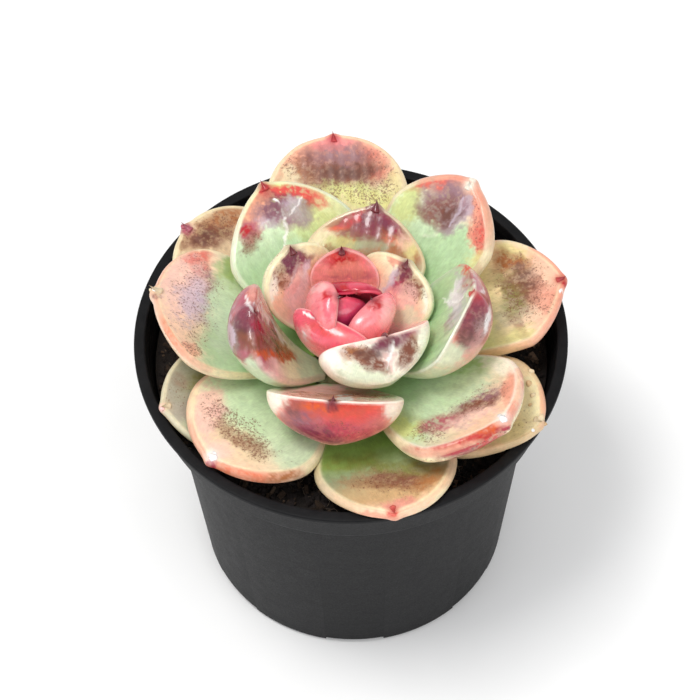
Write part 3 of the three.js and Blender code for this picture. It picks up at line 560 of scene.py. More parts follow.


# ---------------------------------------------------------------- what each leaf looks like
# top, bot: colours of the upper and lower face from foot to tip. edge: (colour, strength, width in mm) along the
# outline;
# uedge has the same form but is not read. lip, rim: (colour, strength) of the rounded edge and of the ridge inside it.
# tip: the point's colour.
# strokes: (kind + where, colour, ...) in the 700 x 700 view; e is a patch (x, y, rx, ry, angle, strength, softness),
# l is a line (points, width, strength, softness); t upper face, b lower face, l lip, r rim, a everywhere.
SPEC = {
    "leaf_08_outer_back": dict(
        top=[(0, "ygreen"), (.55, "ygreen"), (.75, "beige"), (1, "salmon")], bot=[(0, "mint"), (1, "beige")], edge=("cream", .75, 3.0), lip=("cream", .6), tip="red",
        strokes=[("et", "salmon", 340, 150, 62, 14, 0, .55, .8), ("et", "ochre", 300, 172, 26, 15, 20, .6, .8), ("et", "purpleg", 338, 158, 32, 16, 0, .75, .8),
                 ("et", "brown", 345, 178, 42, 14, 5, .75, .9), ("et", "dbrown", 340, 170, 20, 6, 0, .45, .8), ("et", "coral", 375, 165, 20, 16, -40, .4, .8),
                 ("et", "pink", 333, 142, 22, 8, 0, .6, .7), ("et", "ygreen", 362, 196, 40, 12, -10, .8, .8), ("et", "yellow", 395, 180, 9, 22, -15, .5, .6),
                 ("et", "speck", 345, 178, 40, 20, 0, .7, .8), ("et", "speck", 290, 164, 14, 10, 0, .8, .6), ("et", "speck", 365, 192, 38, 12, 0, .9, .6),
                 ("et", "speck", 378, 165, 22, 20, 0, .5, .7), ("ea", "pink", 333, 137, 8, 5, 0, .7, .6),
                 ("et", "brown", 335, 165, 44, 18, 0, 0.75, 0.9), ("et", "purpleg", 340, 155, 26, 10, 0, 0.5, 0.8), ("et", "dbrown", 348, 172, 30, 9, 8, 0.55, 0.9), ("et", "yellow", 372, 200, 34, 9, -8, 0.6, 0.8), ("et", "cream", 290, 178, 10, 14, 20, 0.6, 0.7)]),
    "leaf_05_outer_back_left": dict(
        top=[(0, "ygreen"), (.6, "beige"), (1, "beige")], bot=[(0, "mint"), (1, "beige")], edge=("cream", .6, 3.0), lip=("cream", .5), tip="mauve",
        strokes=[("et", "ochre", 222, 222, 26, 12, 15, .6, .9), ("et", "tan", 205, 235, 34, 14, 20, .7, .8), ("et", "brown", 208, 243, 28, 8, 10, .5, .9),
                 ("et", "olive", 212, 232, 14, 8, 0, .4, .9), ("et", "speck", 210, 232, 34, 16, 15, .75, .8), ("ea", "mauve", 186, 228, 8, 7, 0, .9, .7),
                 ("et", "brown", 208, 236, 30, 14, 15, 0.8, 0.9), ("et", "dbrown", 204, 240, 18, 8, 10, 0.5, 0.9), ("et", "ochre", 228, 218, 18, 10, 10, 0.7, 0.9)]),
    "leaf_13_middle_back_left": dict(
        top=[(0, "mint"), (.5, "mint"), (.75, "mintpale"), (1, "ygreen")], bot=[(0, "mintpale"), (1, "blush")], edge=("creamw", .55, 1.6), lip=("creamw", .5), tip="red",
        strokes=[("et", "yellow", 328, 205, 26, 26, -30, .6, .9), ("et", "ygreen", 310, 222, 30, 16, 0, .6, .9), ("et", "salmon", 256, 208, 15, 30, -12, .85, .7),
                 ("et", "coral", 292, 192, 34, 9, 0, .9, .6), ("et", "coral", 318, 199, 14, 8, -20, .7, .7), ("et", "purpleg", 280, 212, 30, 14, 12, .9, .6),
                 ("et", "plum", 276, 199, 22, 6, 0, .55, .9), ("et", "lilac", 292, 208, 14, 9, 10, .7, .9), ("et", "lilac", 268, 222, 16, 8, 20, .5, .9),
                 ("et", "mauve", 247, 232, 13, 14, 60, .8, .7), ("et", "red", 245, 231, 6, 5, 40, .8, .6), ("et", "brown", 250, 246, 14, 5, 30, .6, .9),
                 ("et", "brown", 310, 205, 8, 8, 0, .5, .9), ("et", "speck", 250, 246, 14, 8, 30, .6, .8), ("lt", "white", [(274, 200), (279, 206), (283, 217)], 1.6, .9, .4),
                 ("lt", "creamw", [(283, 217), (285, 232), (286, 248)], 2.2, .5, .6), ("lt", "lilac", [(300, 204), (290, 214), (276, 220)], 1.5, .7, .5),
                 ("lt", "lilac", [(262, 226), (272, 218), (284, 214)], 1.2, .6, .5), ("et", "red", 262, 187, 7, 6, 0, .95, .5),
                 ("et", "purpleg", 288, 216, 24, 13, 10, 0.85, 0.7), ("et", "plum", 272, 212, 14, 9, 10, 0.5, 0.9), ("et", "grey", 296, 212, 16, 10, 0, 0.5, 0.8), ("et", "brown", 252, 242, 10, 10, 40, 0.5, 0.9), ("lt", "white", [(303, 200), (296, 207), (288, 214)], 1.3, 0.8, 0.5), ("lt", "white", [(284, 218), (285, 232), (284, 246)], 1.8, 0.8, 0.5)]),
    "leaf_10_middle_left": dict(
        top=[(0, "green"), (.35, "mint"), (.55, "mintpale"), (.75, "peach"), (1, "peach")], bot=[(0, "mintpale"), (1, "peach")], edge=("cream", .4, 2.0), lip=("salmon", .8),
        rim=("cream", .5), tip="beige",
        strokes=[("et", "green", 226, 285, 16, 26, 0, .75, .8), ("et", "mint", 222, 340, 30, 30, 0, .8, .8), ("et", "peach", 180, 310, 26, 34, 10, .7, .8),
                 ("et", "purpleg", 200, 290, 17, 32, -5, .75, .9), ("et", "lilac", 196, 300, 12, 16, 0, .55, .9), ("et", "coral", 199, 262, 14, 12, 0, .45, .9),
                 ("et", "salmon", 193, 255, 12, 7, 0, .5, .8), ("et", "salmon", 188, 350, 12, 8, -40, .6, .8), ("et", "speck", 195, 300, 26, 48, 0, .62, .8),
                 ("et", "speck", 192, 350, 12, 7, -30, .95, .6), ("ea", "darkred", 157, 295, 5, 5, 0, .9, .6), ("el", "orange", 172, 335, 22, 14, -50, .5, .8),
                 ("el", "cream", 225, 378, 30, 8, 0, .8, .8), ("el", "cream", 215, 250, 20, 8, 0, .8, .8),
                 ("et", "mintpale", 226, 318, 18, 46, 4, 0.9, 0.8), ("et", "green", 232, 270, 6, 14, 0, 0.6, 0.8), ("et", "blush", 182, 285, 22, 34, 0, 0.55, 0.8), ("et", "lilac", 193, 302, 15, 22, 0, 0.5, 0.9), ("et", "coral", 196, 256, 20, 6, -6, 0.45, 0.8)]),
    "leaf_02_outer_left": dict(
        # the dark olive at the foot of the upper face is painted shade
        top=[(0, "dolive"), (.5, "sage"), (1, "grey")], bot=[(0, "sage"), (1, "beige")], edge=("cream", .5, 2.0), lip=("cream", .6), tip="beige",
        strokes=[("et", "grey", 172, 415, 16, 14, 0, .6, .8), ("et", "mintpale", 188, 432, 14, 10, -40, .7, .8), ("ea", "blush", 162, 410, 5, 5, 0, .8, .6),
                 # the olive patch at (198, 382) is painted shade
                 ("et", "brown", 180, 380, 9, 8, 0, .35, .9), ("et", "speck", 178, 390, 16, 18, 0, .35, .9), ("et", "olive", 198, 382, 14, 12, -20, .6, .9)]),
    "leaf_07_outer_front_left": dict(
        top=[(0, "green"), (.3, "mint"), (.6, "mintpale"), (.85, "peach"), (1, "peach")], bot=[(0, "mintpale"), (1, "salmon")], edge=("cream", .5, 2.2), lip=("salmon", .9),
        rim=("cream", .7), tip="white",
        strokes=[("et", "mintpale", 225, 388, 24, 8, 0, .5, .8), ("et", "mint", 258, 415, 22, 22, -30, .8, .8), ("et", "peach", 205, 418, 14, 30, -15, .7, .8),
                 ("et", "beige", 235, 440, 36, 16, -35, .7, .9), ("et", "mintpale", 300, 452, 24, 12, 20, .8, .8), ("et", "brown", 218, 412, 14, 7, -50, .5, .9),
                 ("et", "brown", 255, 446, 26, 5, -20, .4, .9), ("et", "speck", 240, 432, 46, 15, -38, .95, .6), ("et", "speck", 220, 412, 16, 10, -40, .9, .6),
                 ("el", "orange", 240, 473, 36, 8, -8, .6, .8), ("el", "ochre", 282, 475, 18, 6, 5, .8, .7), ("el", "cream", 318, 462, 16, 12, 30, .8, .7),
                 ("el", "cream", 192, 400, 8, 22, 0, .5, .7), ("ea", "crimson", 212, 462, 6.5, 4.5, 0, .9, .5),
                 ("et", "mintpale", 262, 412, 34, 26, -20, 0.85, 0.8), ("et", "blush", 208, 410, 16, 26, -10, 0.6, 0.8), ("et", "blush", 220, 448, 20, 10, -10, 0.5, 0.8), ("et", "brown", 236, 436, 34, 8, -35, 0.45, 0.9)]),
    "leaf_12_middle_front": dict(
        top=[(0, "mint"), (.5, "mintpale"), (1, "blush")], bot=[(0, "mintpale"), (.35, "mintpale"), (.6, "peach"), (1, "coral")], uedge=("cream", .85, 2.6), lip=("creamw", .8), tip="darkred",
        strokes=[("eb", "mauve", 330, 425, 58, 22, 0, .6, .7), ("eb", "purpleg", 305, 420, 20, 16, -30, .7, .8), ("eb", "plum", 300, 415, 14, 18, -30, .4, .9),
                 ("eb", "orange", 340, 408, 42, 9, 0, .9, .7), ("eb", "red", 350, 404, 30, 5, 0, .6, .7), ("eb", "coral", 350, 415, 40, 10, 5, .7, .8),
                 ("eb", "crimson", 345, 436, 36, 7, 5, .35, .9), ("eb", "brown", 292, 408, 14, 8, -60, .5, .9), ("eb", "speck", 330, 432, 46, 12, 0, .5, .8),
                 ("et", "blush", 335, 392, 60, 6, 0, .8, .6), ("ea", "gloss", 330, 398, 60, 6, 0, .8, .6), ("ea", "darkred", 334, 401, 5, 3, 30, .9, .5),
                 # the small white mark at (345, 397) is a painted highlight
                 ("eb", "crimson", 330, 432, 44, 10, 4, 0.6, 0.8), ("eb", "plum", 318, 436, 26, 8, -8, 0.7, 0.8), ("eb", "dplum", 345, 442, 22, 4, 0, 0.4, 0.8), ("et", "salmon", 335, 394, 58, 5, 0, 0.6, 0.7), ("ea", "creamw", 274, 392, 8, 8, -40, 0.8, 0.6), ("ea", "creamw", 400, 399, 6, 6, 0, 0.8, 0.6), ("ea", "white", 345, 397, 7, 2.4, 0, 0.9, 0.4),
                 ("eb", "creamw", 275, 398, 13, 22, -35, 0.85, 0.8), ("eb", "creamw", 399, 410, 14, 16, 25, 0.8, 0.8), ("eb", "creamw", 340, 452, 46, 4, 0, 0.6, 0.8), ("et", "blush", 320, 389, 40, 4, 0, 0.8, 0.7), ("ea", "darkred", 333, 406, 6, 5, 0, 0.85, 0.7)]),
    "leaf_11_middle_back_right": dict(
        top=[(0, "mint"), (.5, "mint"), (.75, "mintpale"), (1, "salmon")], bot=[(0, "mintpale"), (1, "peach")], edge=("cream", .5, 1.8), lip=("salmon", .7), tip="creamw",
        strokes=[("et", "ygreen", 405, 205, 18, 22, -35, .8, .8), ("et", "mint", 452, 250, 34, 28, 0, .8, .8), ("et", "coral", 430, 184, 26, 8, 5, .7, .8),
                 ("et", "purpleg", 448, 205, 26, 24, -20, .85, .8), ("et", "lilac", 456, 218, 16, 12, 20, .6, .9), ("et", "brown", 438, 212, 12, 12, 0, .5, .9),
                 ("et", "salmon", 480, 222, 12, 34, -8, .9, .6), ("et", "coral", 482, 238, 9, 22, -5, .7, .8), ("et", "lilac", 467, 207, 6, 11, -10, .7, .7),
                 ("et", "yellow", 478, 262, 12, 14, 0, .7, .8), ("et", "speck", 480, 225, 12, 32, -8, .5, .8), ("lt", "creamw", [(440, 228), (430, 234), (420, 238)], 2, .4, .6),
                 ("el", "cream", 400, 190, 14, 22, 0, .8, .7), ("ea", "creamw", 475, 181, 4.5, 4, 0, .9, .5), ("el", "cream", 490, 265, 8, 14, 0, .8, .7),
                 ("et", "purpleg", 448, 206, 26, 22, -20, 0.85, 0.8), ("et", "brown", 440, 212, 20, 15, 0, 0.75, 0.9), ("et", "dbrown", 450, 216, 14, 10, 0, 0.5, 0.9), ("lt", "lilac", [(462, 200), (458, 212), (450, 224)], 2.2, 0.8, 0.5), ("et", "red", 486, 214, 5, 14, -8, 0.5, 0.8)]),
    "leaf_06_outer_right": dict(
        top=[(0, "ygreen"), (.5, "ygreen"), (.8, "peach"), (1, "salmon")], bot=[(0, "mint"), (1, "salmon")], edge=("cream", .35, 1.5), lip=("salmon", .85), rim=("cream", .75), tip="red",
        strokes=[("et", "yellow", 512, 252, 20, 10, -15, .7, .8), ("et", "olive", 512, 275, 20, 22, 0, .6, .9), ("et", "ochre", 520, 262, 14, 9, -10, .55, .9),
                 ("et", "brown", 522, 288, 18, 12, 0, .4, .9), ("et", "grey", 510, 310, 18, 20, 30, .4, .9), ("et", "peach", 545, 272, 18, 16, -30, .7, .8),
                 ("et", "salmon", 545, 300, 12, 24, 25, .5, .8), ("et", "yellow", 512, 340, 26, 12, 20, .7, .8), ("et", "brown", 516, 322, 6, 20, 25, .45, .9),
                 ("et", "speck", 522, 290, 30, 36, 0, .72, .8), ("el", "cream", 515, 243, 24, 6, 0, .8, .7), ("ea", "red", 563, 282, 4, 5, 0, .9, .5),
                 ("ea", "white", 559, 292, 2.5, 2.5, 0, .9, .5),
                 ("et", "ochre", 506, 262, 18, 10, -15, 0.85, 0.9), ("et", "brown", 520, 288, 22, 18, 0, 0.75, 0.9), ("et", "olive", 510, 300, 18, 18, 20, 0.6, 0.9), ("et", "dbrown", 524, 276, 14, 9, -20, 0.4, 0.9)]),
    "leaf_09_middle_front_right": dict(
        top=[(0, "green"), (.3, "mint"), (.6, "mintpale"), (.85, "peach"), (1, "peach")], bot=[(0, "mintpale"), (.5, "cream"), (1, "cream")], edge=("peach", .5, 2.0), lip=("coral", .75),
        rim=("creamw", .8), tip="white",
        strokes=[("et", "green", 470, 368, 34, 8, 12, .7, .8), ("et", "mint", 445, 395, 34, 12, 12, .8, .8), ("et", "ygreen", 400, 425, 20, 16, 0, .8, .8),
                 ("et", "purpleg", 478, 402, 34, 11, 32, .85, .8), ("et", "mauve", 440, 422, 26, 7, 15, .8, .7), ("et", "blush", 470, 417, 28, 7, 18, .6, .8),
                 ("et", "salmon", 510, 385, 9, 22, -10, .7, .8), ("et", "brown", 475, 405, 22, 5, 25, .5, .9), ("et", "speck", 478, 402, 36, 13, 30, .6, .8),
                 ("et", "speck", 425, 432, 20, 8, 0, .8, .7), ("el", "orange", 465, 436, 46, 8, 8, .9, .6), ("eb", "red", 462, 446, 42, 8, 10, .85, .7),
                 ("eb", "darkred", 478, 450, 26, 6, 15, .5, .9), ("eb", "brown", 430, 446, 20, 7, -20, .6, .9), ("el", "peach", 518, 385, 6, 24, 0, .85, .6),
                 ("el", "creamw", 505, 360, 16, 6, 0, .7, .7), ("el", "cream", 395, 440, 12, 12, 0, .8, .7), ("ea", "crimson", 502, 429, 7, 5, 20, .9, .5),
                 ("et", "mintpale", 452, 388, 40, 16, 12, 0.95, 0.8), ("et", "mintpale", 420, 408, 26, 12, 5, 0.7, 0.8), ("et", "brown", 478, 406, 26, 8, 28, 0.5, 0.9), ("et", "creamw", 500, 365, 18, 8, 0, 0.6, 0.8), ("eb", "coral", 458, 444, 50, 9, 6, 0.95, 0.6), ("el", "red", 462, 441, 44, 6, 6, 0.7, 0.7), ("eb", "crimson", 455, 454, 26, 6, 5, 0.6, 0.8)]),
    "leaf_01_outer_front_right": dict(
        top=[(0, "olive"), (.5, "beige"), (1, "beige")], bot=[(0, "olive"), (1, "beige")], edge=("tan", .4, 1.6), lip=("tan", .8), tip="beige",
        strokes=[("et", "ygreen", 518, 430, 22, 12, 30, .6, .8), ("et", "cream", 536, 400, 8, 30, 0, .4, .8), ("et", "tan", 530, 385, 8, 18, 0, .5, .9),
                 ("et", "speck", 520, 420, 18, 20, 0, .3, .9), ("el", "salmon", 543, 400, 6, 30, 0, .5, .8),
                 ("et", "cream", 532, 408, 12, 34, 0, 0.8, 0.8), ("et", "beige", 518, 432, 20, 14, 20, 0.6, 0.8)]),
    "leaf_04_outer_front": dict(
        # the dark olive and green at the foot of the upper face are painted shade
        top=[(0, "dolive"), (.4, "green"), (.65, "sage"), (.85, "tan"), (1, "peach")], bot=[(0, "olive"), (1, "peach")], edge=("cream", .5, 2.0), lip=("peach", .8), rim=("cream", .9), tip="coral",
        # the green patch at (345, 460) is painted shade
        strokes=[("et", "green", 345, 460, 32, 10, 0, .8, .8), ("et", "tan", 390, 485, 44, 14, 0, .7, .9), ("et", "brown", 420, 470, 22, 8, 20, .45, .9),
                 ("et", "purpleg", 395, 478, 28, 7, 0, .4, .9), ("et", "speck", 395, 482, 46, 14, 0, .55, .8), ("et", "pink", 400, 505, 18, 6, 10, .5, .8),
                 ("ea", "coral", 391, 512, 8, 4, 0, .8, .6), ("el", "salmon", 375, 517, 30, 5, 0, .6, .8), ("el", "cream", 440, 500, 22, 8, 35, .7, .8),
                 # the two olive patches at (352, 463) and (400, 468) are painted shade
                 ("et", "olive", 352, 463, 46, 9, 0, 0.55, 1.0), ("et", "olive", 400, 468, 50, 8, 0, 0.6, 0.8), ("et", "brown", 395, 482, 48, 10, 0, 0.6, 0.9), ("et", "ochre", 430, 478, 20, 8, 30, 0.6, 0.8)]),
    "leaf_16_inner_back": dict(
        top=[(0, "mintpale"), (.4, "sage"), (.7, "ochre"), (1, "darkred")], bot=[(0, "mintpale"), (.6, "mintpale"), (1, "mauve")], edge=("cream", .8, 2.4), lip=("cream", .7), tip="darkred",
        strokes=[("et", "cream", 322, 238, 18, 10, 10, .8, .8), ("et", "ygreen", 345, 243, 24, 8, 0, .6, .8), ("et", "sage", 368, 244, 22, 9, 0, .7, .8),
                 ("et", "brown", 370, 235, 34, 6, -5, .7, .9), ("et", "orange", 345, 224, 20, 5, 22, .85, .7), ("et", "darkred", 350, 217, 14, 4, 25, .7, .7),
                 ("et", "plum", 372, 222, 20, 10, 0, .9, .7), ("et", "mauve", 368, 228, 12, 6, 0, .5, .8), ("ea", "darkred", 376, 210, 9, 7, 0, .95, .6),
                 # the blush line along the right ridge is a painted highlight
                 ("et", "crimson", 392, 226, 16, 5, -40, .8, .7), ("lt", "blush", [(392, 221), (399, 229), (405, 236)], 2.0, .8, .5), ("et", "orange", 392, 240, 14, 5, -15, .6, .8),
                 ("et", "yellow", 410, 250, 9, 12, -10, .7, .8), ("et", "peach", 402, 240, 8, 10, -30, .6, .8), ("et", "gloss", 385, 225, 26, 12, -20, .8, .8),
                 ("et", "darkred", 374, 228, 34, 10, -4, 0.6, 0.8), ("et", "plum", 384, 222, 14, 9, -25, 0.7, 0.8), ("et", "red", 352, 219, 18, 5, 24, 0.7, 0.7)]),
    "leaf_14_inner_right": dict(
        top=[(0, "mint"), (.6, "mint"), (1, "mintpale")], bot=[(0, "mintpale"), (.4, "mintpale"), (.7, "peach"), (1, "mauve")], edge=("lilac", .5, 3.0), uedge=("creamw", .8, 1.4), lip=("creamw", .6), tip="coral",
        strokes=[("et", "lilac", 457, 300, 8, 26, -12, .8, .8), ("et", "white", 455, 296, 6, 14, -10, .5, .8), ("et", "purpleg", 450, 322, 4, 14, -15, .6, .9),
                 ("ea", "coral", 464, 268, 9, 6, -40, .8, .7), ("ea", "mauve", 470, 280, 8, 12, -20, .8, .7), ("eb", "mauve", 474, 310, 16, 24, -20, .85, .7),
                 ("eb", "brown", 470, 325, 16, 22, -25, .7, .9), ("eb", "plum", 468, 312, 8, 12, -20, .5, .9), ("eb", "grey", 480, 322, 8, 14, 0, .5, .9),
                 ("eb", "orange", 452, 338, 9, 8, 30, .7, .8), ("eb", "red", 478, 297, 8, 4, 0, .7, .7), ("eb", "speck", 470, 328, 16, 20, 0, .6, .8),
                 ("la", "white", [(443, 299), (458, 300), (474, 296)], 1.4, .9, .4), ("la", "white", [(449, 298), (453, 288), (456, 276)], 1.0, .5, .5),
                 ("eb", "mintpale", 445, 360, 24, 12, 30, .8, .7), ("ea", "white", 483, 291, 3, 3, 0, .7, .6),
                 # the thin white streak at (487, 320) is a painted highlight
                 ("eb", "red", 476, 306, 12, 16, -20, 0.6, 0.8), ("eb", "plum", 473, 318, 14, 26, -20, 0.7, 0.8), ("eb", "dbrown", 466, 340, 12, 12, -30, 0.6, 0.9), ("eb", "white", 487, 320, 3, 16, -6, 0.7, 0.5)]),
    "leaf_15_inner_front_left": dict(
        top=[(0, "mintpale"), (.45, "cream"), (.65, "blush"), (.85, "mauve"), (1, "mauve")], bot=[(0, "mintpale"), (.5, "mintpale"), (.75, "brown"), (1, "mauve")], edge=("creamw", .9, 1.6), lip=("mauve", .3), tip="darkred",
        strokes=[("ea", "mauve", 262, 318, 30, 12, -56, .9, .6), ("ea", "plum", 262, 330, 24, 9, -50, .8, .7), ("ea", "brown", 272, 344, 22, 9, -40, .8, .7), ("ea", "ochre", 288, 354, 16, 7, -35, .8, .7),
                 # the white strip from (257, 300) to (286, 342) is a waxy streak with a painted highlight on it
                 ("ea", "orange", 294, 358, 12, 4, -30, .6, .7), ("et", "mintpale", 306, 368, 16, 9, -50, .8, .7), ("la", "white", [(257, 300), (264, 314), (275, 328), (286, 342)], 3.2, .9, .5),
                 ("eb", "plum", 245, 328, 10, 10, 0, .8, .8), ("eb", "brown", 258, 342, 24, 10, -20, .85, .8), ("eb", "dbrown", 250, 338, 12, 6, -10, .5, .9),
                 ("eb", "orange", 284, 352, 14, 6, -25, .9, .7), ("eb", "grey", 236, 336, 5, 16, -10, .6, .8), ("eb", "mintpale", 262, 370, 36, 12, -10, .9, .7),
                 ("ea", "salmon", 252, 292, 7, 10, 20, .6, .8), ("ea", "crimson", 258, 325, 16, 6, -45, .8, .7), ("ea", "darkred", 252, 315, 7, 7, 0, .9, .6),
                 ("ea", "gloss", 268, 325, 34, 14, -55, .9, .7),
                 ("ea", "dbrown", 240, 332, 14, 16, -30, 0.8, 0.8), ("ea", "plum", 248, 318, 12, 18, -20, 0.8, 0.8), ("ea", "brown", 258, 346, 26, 9, -22, 0.9, 0.8), ("ea", "orange", 272, 356, 18, 5, -15, 0.8, 0.7), ("ea", "lilac", 231, 335, 3, 20, -5, 0.7, 0.6), ("la", "white", [(248, 296), (253, 305), (258, 312)], 2.4, 0.9, 0.5)]),
    "leaf_17_inner_front_right": dict(
        top=[(0, "pink"), (1, "blush")], bot=[(0, "mintpale"), (.5, "mintpale"), (.75, "creamw"), (1, "creamw")], lip=("creamw", .9), tip="darkred",
        strokes=[("eb", "mauve", 402, 336, 20, 7, 28, .8, .7), ("eb", "plum", 384, 342, 15, 8, 0, .9, .7), ("eb", "darkred", 386, 337, 8, 4, 0, .8, .6),
                 ("eb", "purpleg", 378, 352, 12, 9, 0, .6, .8), ("eb", "ochre", 360, 352, 16, 9, -15, .8, .7), ("eb", "brown", 368, 360, 14, 6, -35, .6, .9),
                 ("eb", "ochre", 409, 348, 9, 15, -20, .8, .7), ("eb", "brown", 404, 358, 7, 10, 0, .6, .9), ("eb", "speck", 362, 355, 18, 12, -20, .8, .6),
                 ("eb", "speck", 408, 350, 10, 16, -10, .8, .6), ("eb", "blush", 388, 366, 9, 14, 0, .7, .8), ("lb", "white", [(388, 343), (388, 354), (387, 366)], 1.4, .8, .5),
                 ("eb", "mintpale", 365, 378, 34, 12, 0, .6, .8), ("eb", "plum", 396, 338, 16, 6, 25, .7, .8), ("eb", "white", 334, 354, 12, 8, 0, .6, .8), ("la", "blush", [(352, 345), (370, 340), (386, 336), (400, 330), (416, 320)], 1.4, .8, .5),
                 ("eb", "ochre", 354, 356, 14, 9, -12, 0.9, 0.8), ("eb", "brown", 372, 362, 20, 9, -30, 0.9, 0.8), ("eb", "dbrown", 372, 352, 14, 7, 0, 0.6, 0.9), ("eb", "brown", 408, 352, 10, 18, -18, 0.9, 0.8), ("eb", "plum", 388, 344, 20, 8, 10, 0.8, 0.8), ("lb", "white", [(390, 342), (389, 354), (387, 368)], 1.8, 0.95, 0.4)]),
    "leaf_18_inner_back_left": dict(
        top=[(0, "creamw"), (.35, "blush"), (.6, "salmon"), (.85, "cream"), (1, "cream")], bot=[(0, "mintpale"), (.7, "mintpale"), (1, "cream")], edge=("cream", .9, 2.6), lip=("cream", .9), tip="darkred",
        strokes=[("et", "ochre", 275, 275, 10, 18, 10, .75, .8), ("et", "brown", 279, 280, 7, 14, 10, .5, .9), ("et", "mauve", 297, 262, 12, 12, 0, .8, .7),
                 ("et", "plum", 289, 262, 6, 11, -10, .9, .6), ("lt", "dplum", [(292, 248), (292, 258), (289, 269)], 3, .95, .4), ("et", "brown", 308, 256, 8, 7, 0, .5, .9),
                 ("et", "yellow", 320, 248, 16, 6, 0, .7, .7), ("et", "pink", 293, 292, 8, 16, -15, .6, .8), ("et", "peach", 283, 310, 9, 18, -25, .7, .8),
                 # the white line along the keel is partly a waxy line and partly a painted highlight
                 ("lt", "white", [(296, 266), (290, 275), (287, 286)], 1.6, .85, .5), ("lt", "lilac", [(307, 262), (304, 278), (300, 296)], 4, .8, .5),
                 ("et", "mintpale", 268, 285, 4, 24, 0, .7, .7), ("et", "speck", 278, 280, 10, 18, 0, .6, .8), ("et", "gloss", 296, 268, 10, 20, 0, .8, .8),
                 ("et", "blush", 296, 288, 12, 24, -5, 0.6, 0.8), ("et", "plum", 296, 258, 16, 8, 0, 0.7, 0.8), ("et", "cream", 316, 250, 18, 5, 0, 0.7, 0.7), ("et", "peach", 274, 300, 8, 20, -15, 0.7, 0.8),
                 ("et", "plum", 290, 264, 8, 9, -10, 0.75, 0.7), ("et", "blush", 300, 306, 10, 16, -10, 0.6, 0.8),
                 ("et", "creamw", 271, 296, 6, 26, -8, 0.8, 0.7), ("et", "brown", 281, 279, 8, 12, 10, 0.6, 0.9)]),
    "leaf_19_inner_back_right": dict(
        top=[(0, "creamw"), (.4, "blush"), (.7, "peach"), (.9, "cream"), (1, "cream")], bot=[(0, "mintpale"), (.7, "mintpale"), (1, "cream")], edge=("cream", .9, 2.6), lip=("cream", .9), tip="darkred",
        strokes=[("et", "cream", 380, 257, 12, 5, -10, .8, .7), ("et", "salmon", 394, 261, 7, 5, -20, .8, .7), ("et", "mauve", 399, 278, 8, 18, -15, .85, .7),
                 ("et", "darkred", 407, 272, 7, 8, -30, .95, .6), ("et", "crimson", 400, 285, 4, 12, -10, .5, .8), ("et", "ochre", 413, 290, 10, 12, -30, .8, .8),
                 ("et", "brown", 415, 288, 10, 12, -20, .8, .9), ("et", "mintpale", 429, 294, 7, 18, -10, .9, .8), ("et", "lilac", 389, 284, 4, 18, -15, .7, .7),
                 ("et", "peach", 402, 308, 10, 12, 0, .7, .8), ("et", "speck", 414, 292, 10, 10, 0, .5, .8),
                 ("et", "blush", 402, 298, 14, 14, 0, 0.6, 0.8), ("et", "pink", 392, 300, 6, 14, 0, 0.6, 0.8), ("et", "plum", 403, 272, 9, 9, -20, 0.8, 0.7),
                 ("et", "darkred", 406, 276, 6, 7, -30, 0.8, 0.7), ("et", "blush", 392, 312, 12, 10, 0, 0.6, 0.8),
                 ("et", "creamw", 429, 298, 7, 20, -8, 0.8, 0.7), ("et", "mintpale", 404, 316, 14, 9, 0, 0.6, 0.8)]),
    "bud_leaf_20_front": dict(
        top=[(0, "pink"), (1, "pink")], bot=[(0, "mintpale"), (.25, "blush"), (.6, "pink"), (1, "hotpink")], uedge=("blush", .6, 1.0), lip=("blush", .6), tip="darkred",
        strokes=[("eb", "coral", 330, 330, 26, 9, -20, .7, .8), ("eb", "red", 324, 318, 9, 6, -20, .9, .7), ("ea", "darkred", 321, 314, 4, 5, 0, .95, .6),
                 ("eb", "blush", 304, 338, 7, 14, -10, .6, .8), ("eb", "pink", 350, 340, 22, 6, -8, .6, .8), ("ea", "gloss", 330, 325, 40, 24, 0, .7, .8),
                 # the white spot at (310, 314) is a painted highlight
                 ("eb", "red", 322, 320, 8, 9, -10, 0.9, 0.7), ("eb", "white", 310, 314, 2.4, 2.4, 0, 0.9, 0.4), ("eb", "white", 306, 334, 2, 5, 20, 0.8, 0.5), ("eb", "blush", 300, 345, 8, 14, 0, 0.7, 0.8),
                 ("eb", "darkred", 321, 317, 5, 7, -8, 0.9, 0.6), ("eb", "creamw", 300, 352, 10, 10, 0, 0.6, 0.8)]),
    "bud_leaf_21_back": dict(
        # the mauve at the foot of the upper face is painted shade
        top=[(0, "mauve"), (.4, "salmon"), (.8, "pink"), (1, "coral")], bot=[(0, "blush"), (1, "pink")], edge=("blush", .6, 1.4), lip=("blush", .6), tip="darkred",
        strokes=[("et", "coral", 341, 258, 14, 6, 0, .9, .7), ("et", "red", 341, 252, 6, 5, 0, .95, .6), ("et", "ochre", 345, 264, 14, 6, 0, .4, .8),
                 # the mauve band at (350, 276) is painted shade
                 ("et", "mauve", 350, 276, 24, 5, 0, .6, .8), ("et", "gloss", 345, 265, 40, 24, 0, .6, .8),
                 ("et", "red", 341, 262, 14, 5, 0, 0.8, 0.7), ("et", "salmon", 345, 270, 26, 8, 0, 0.6, 0.8)]),
    "bud_leaf_22_right": dict(
        top=[(0, "pink"), (1, "hotpink")], bot=[(0, "blush"), (.5, "pink"), (1, "pink")], uedge=("blush", .5, .8), lip=("blush", .5), tip="darkred",
        strokes=[("eb", "red", 376, 300, 7, 7, 0, .85, .7), ("ea", "darkred", 373, 292, 3, 5, 0, .9, .6), ("eb", "blush", 388, 312, 8, 16, 0, .5, .8), ("ea", "gloss", 375, 310, 24, 24, 0, .7, .8),
                 ("eb", "blush", 389, 320, 9, 14, 0, 0.6, 0.8)]),
    "bud_leaf_23_left": dict(
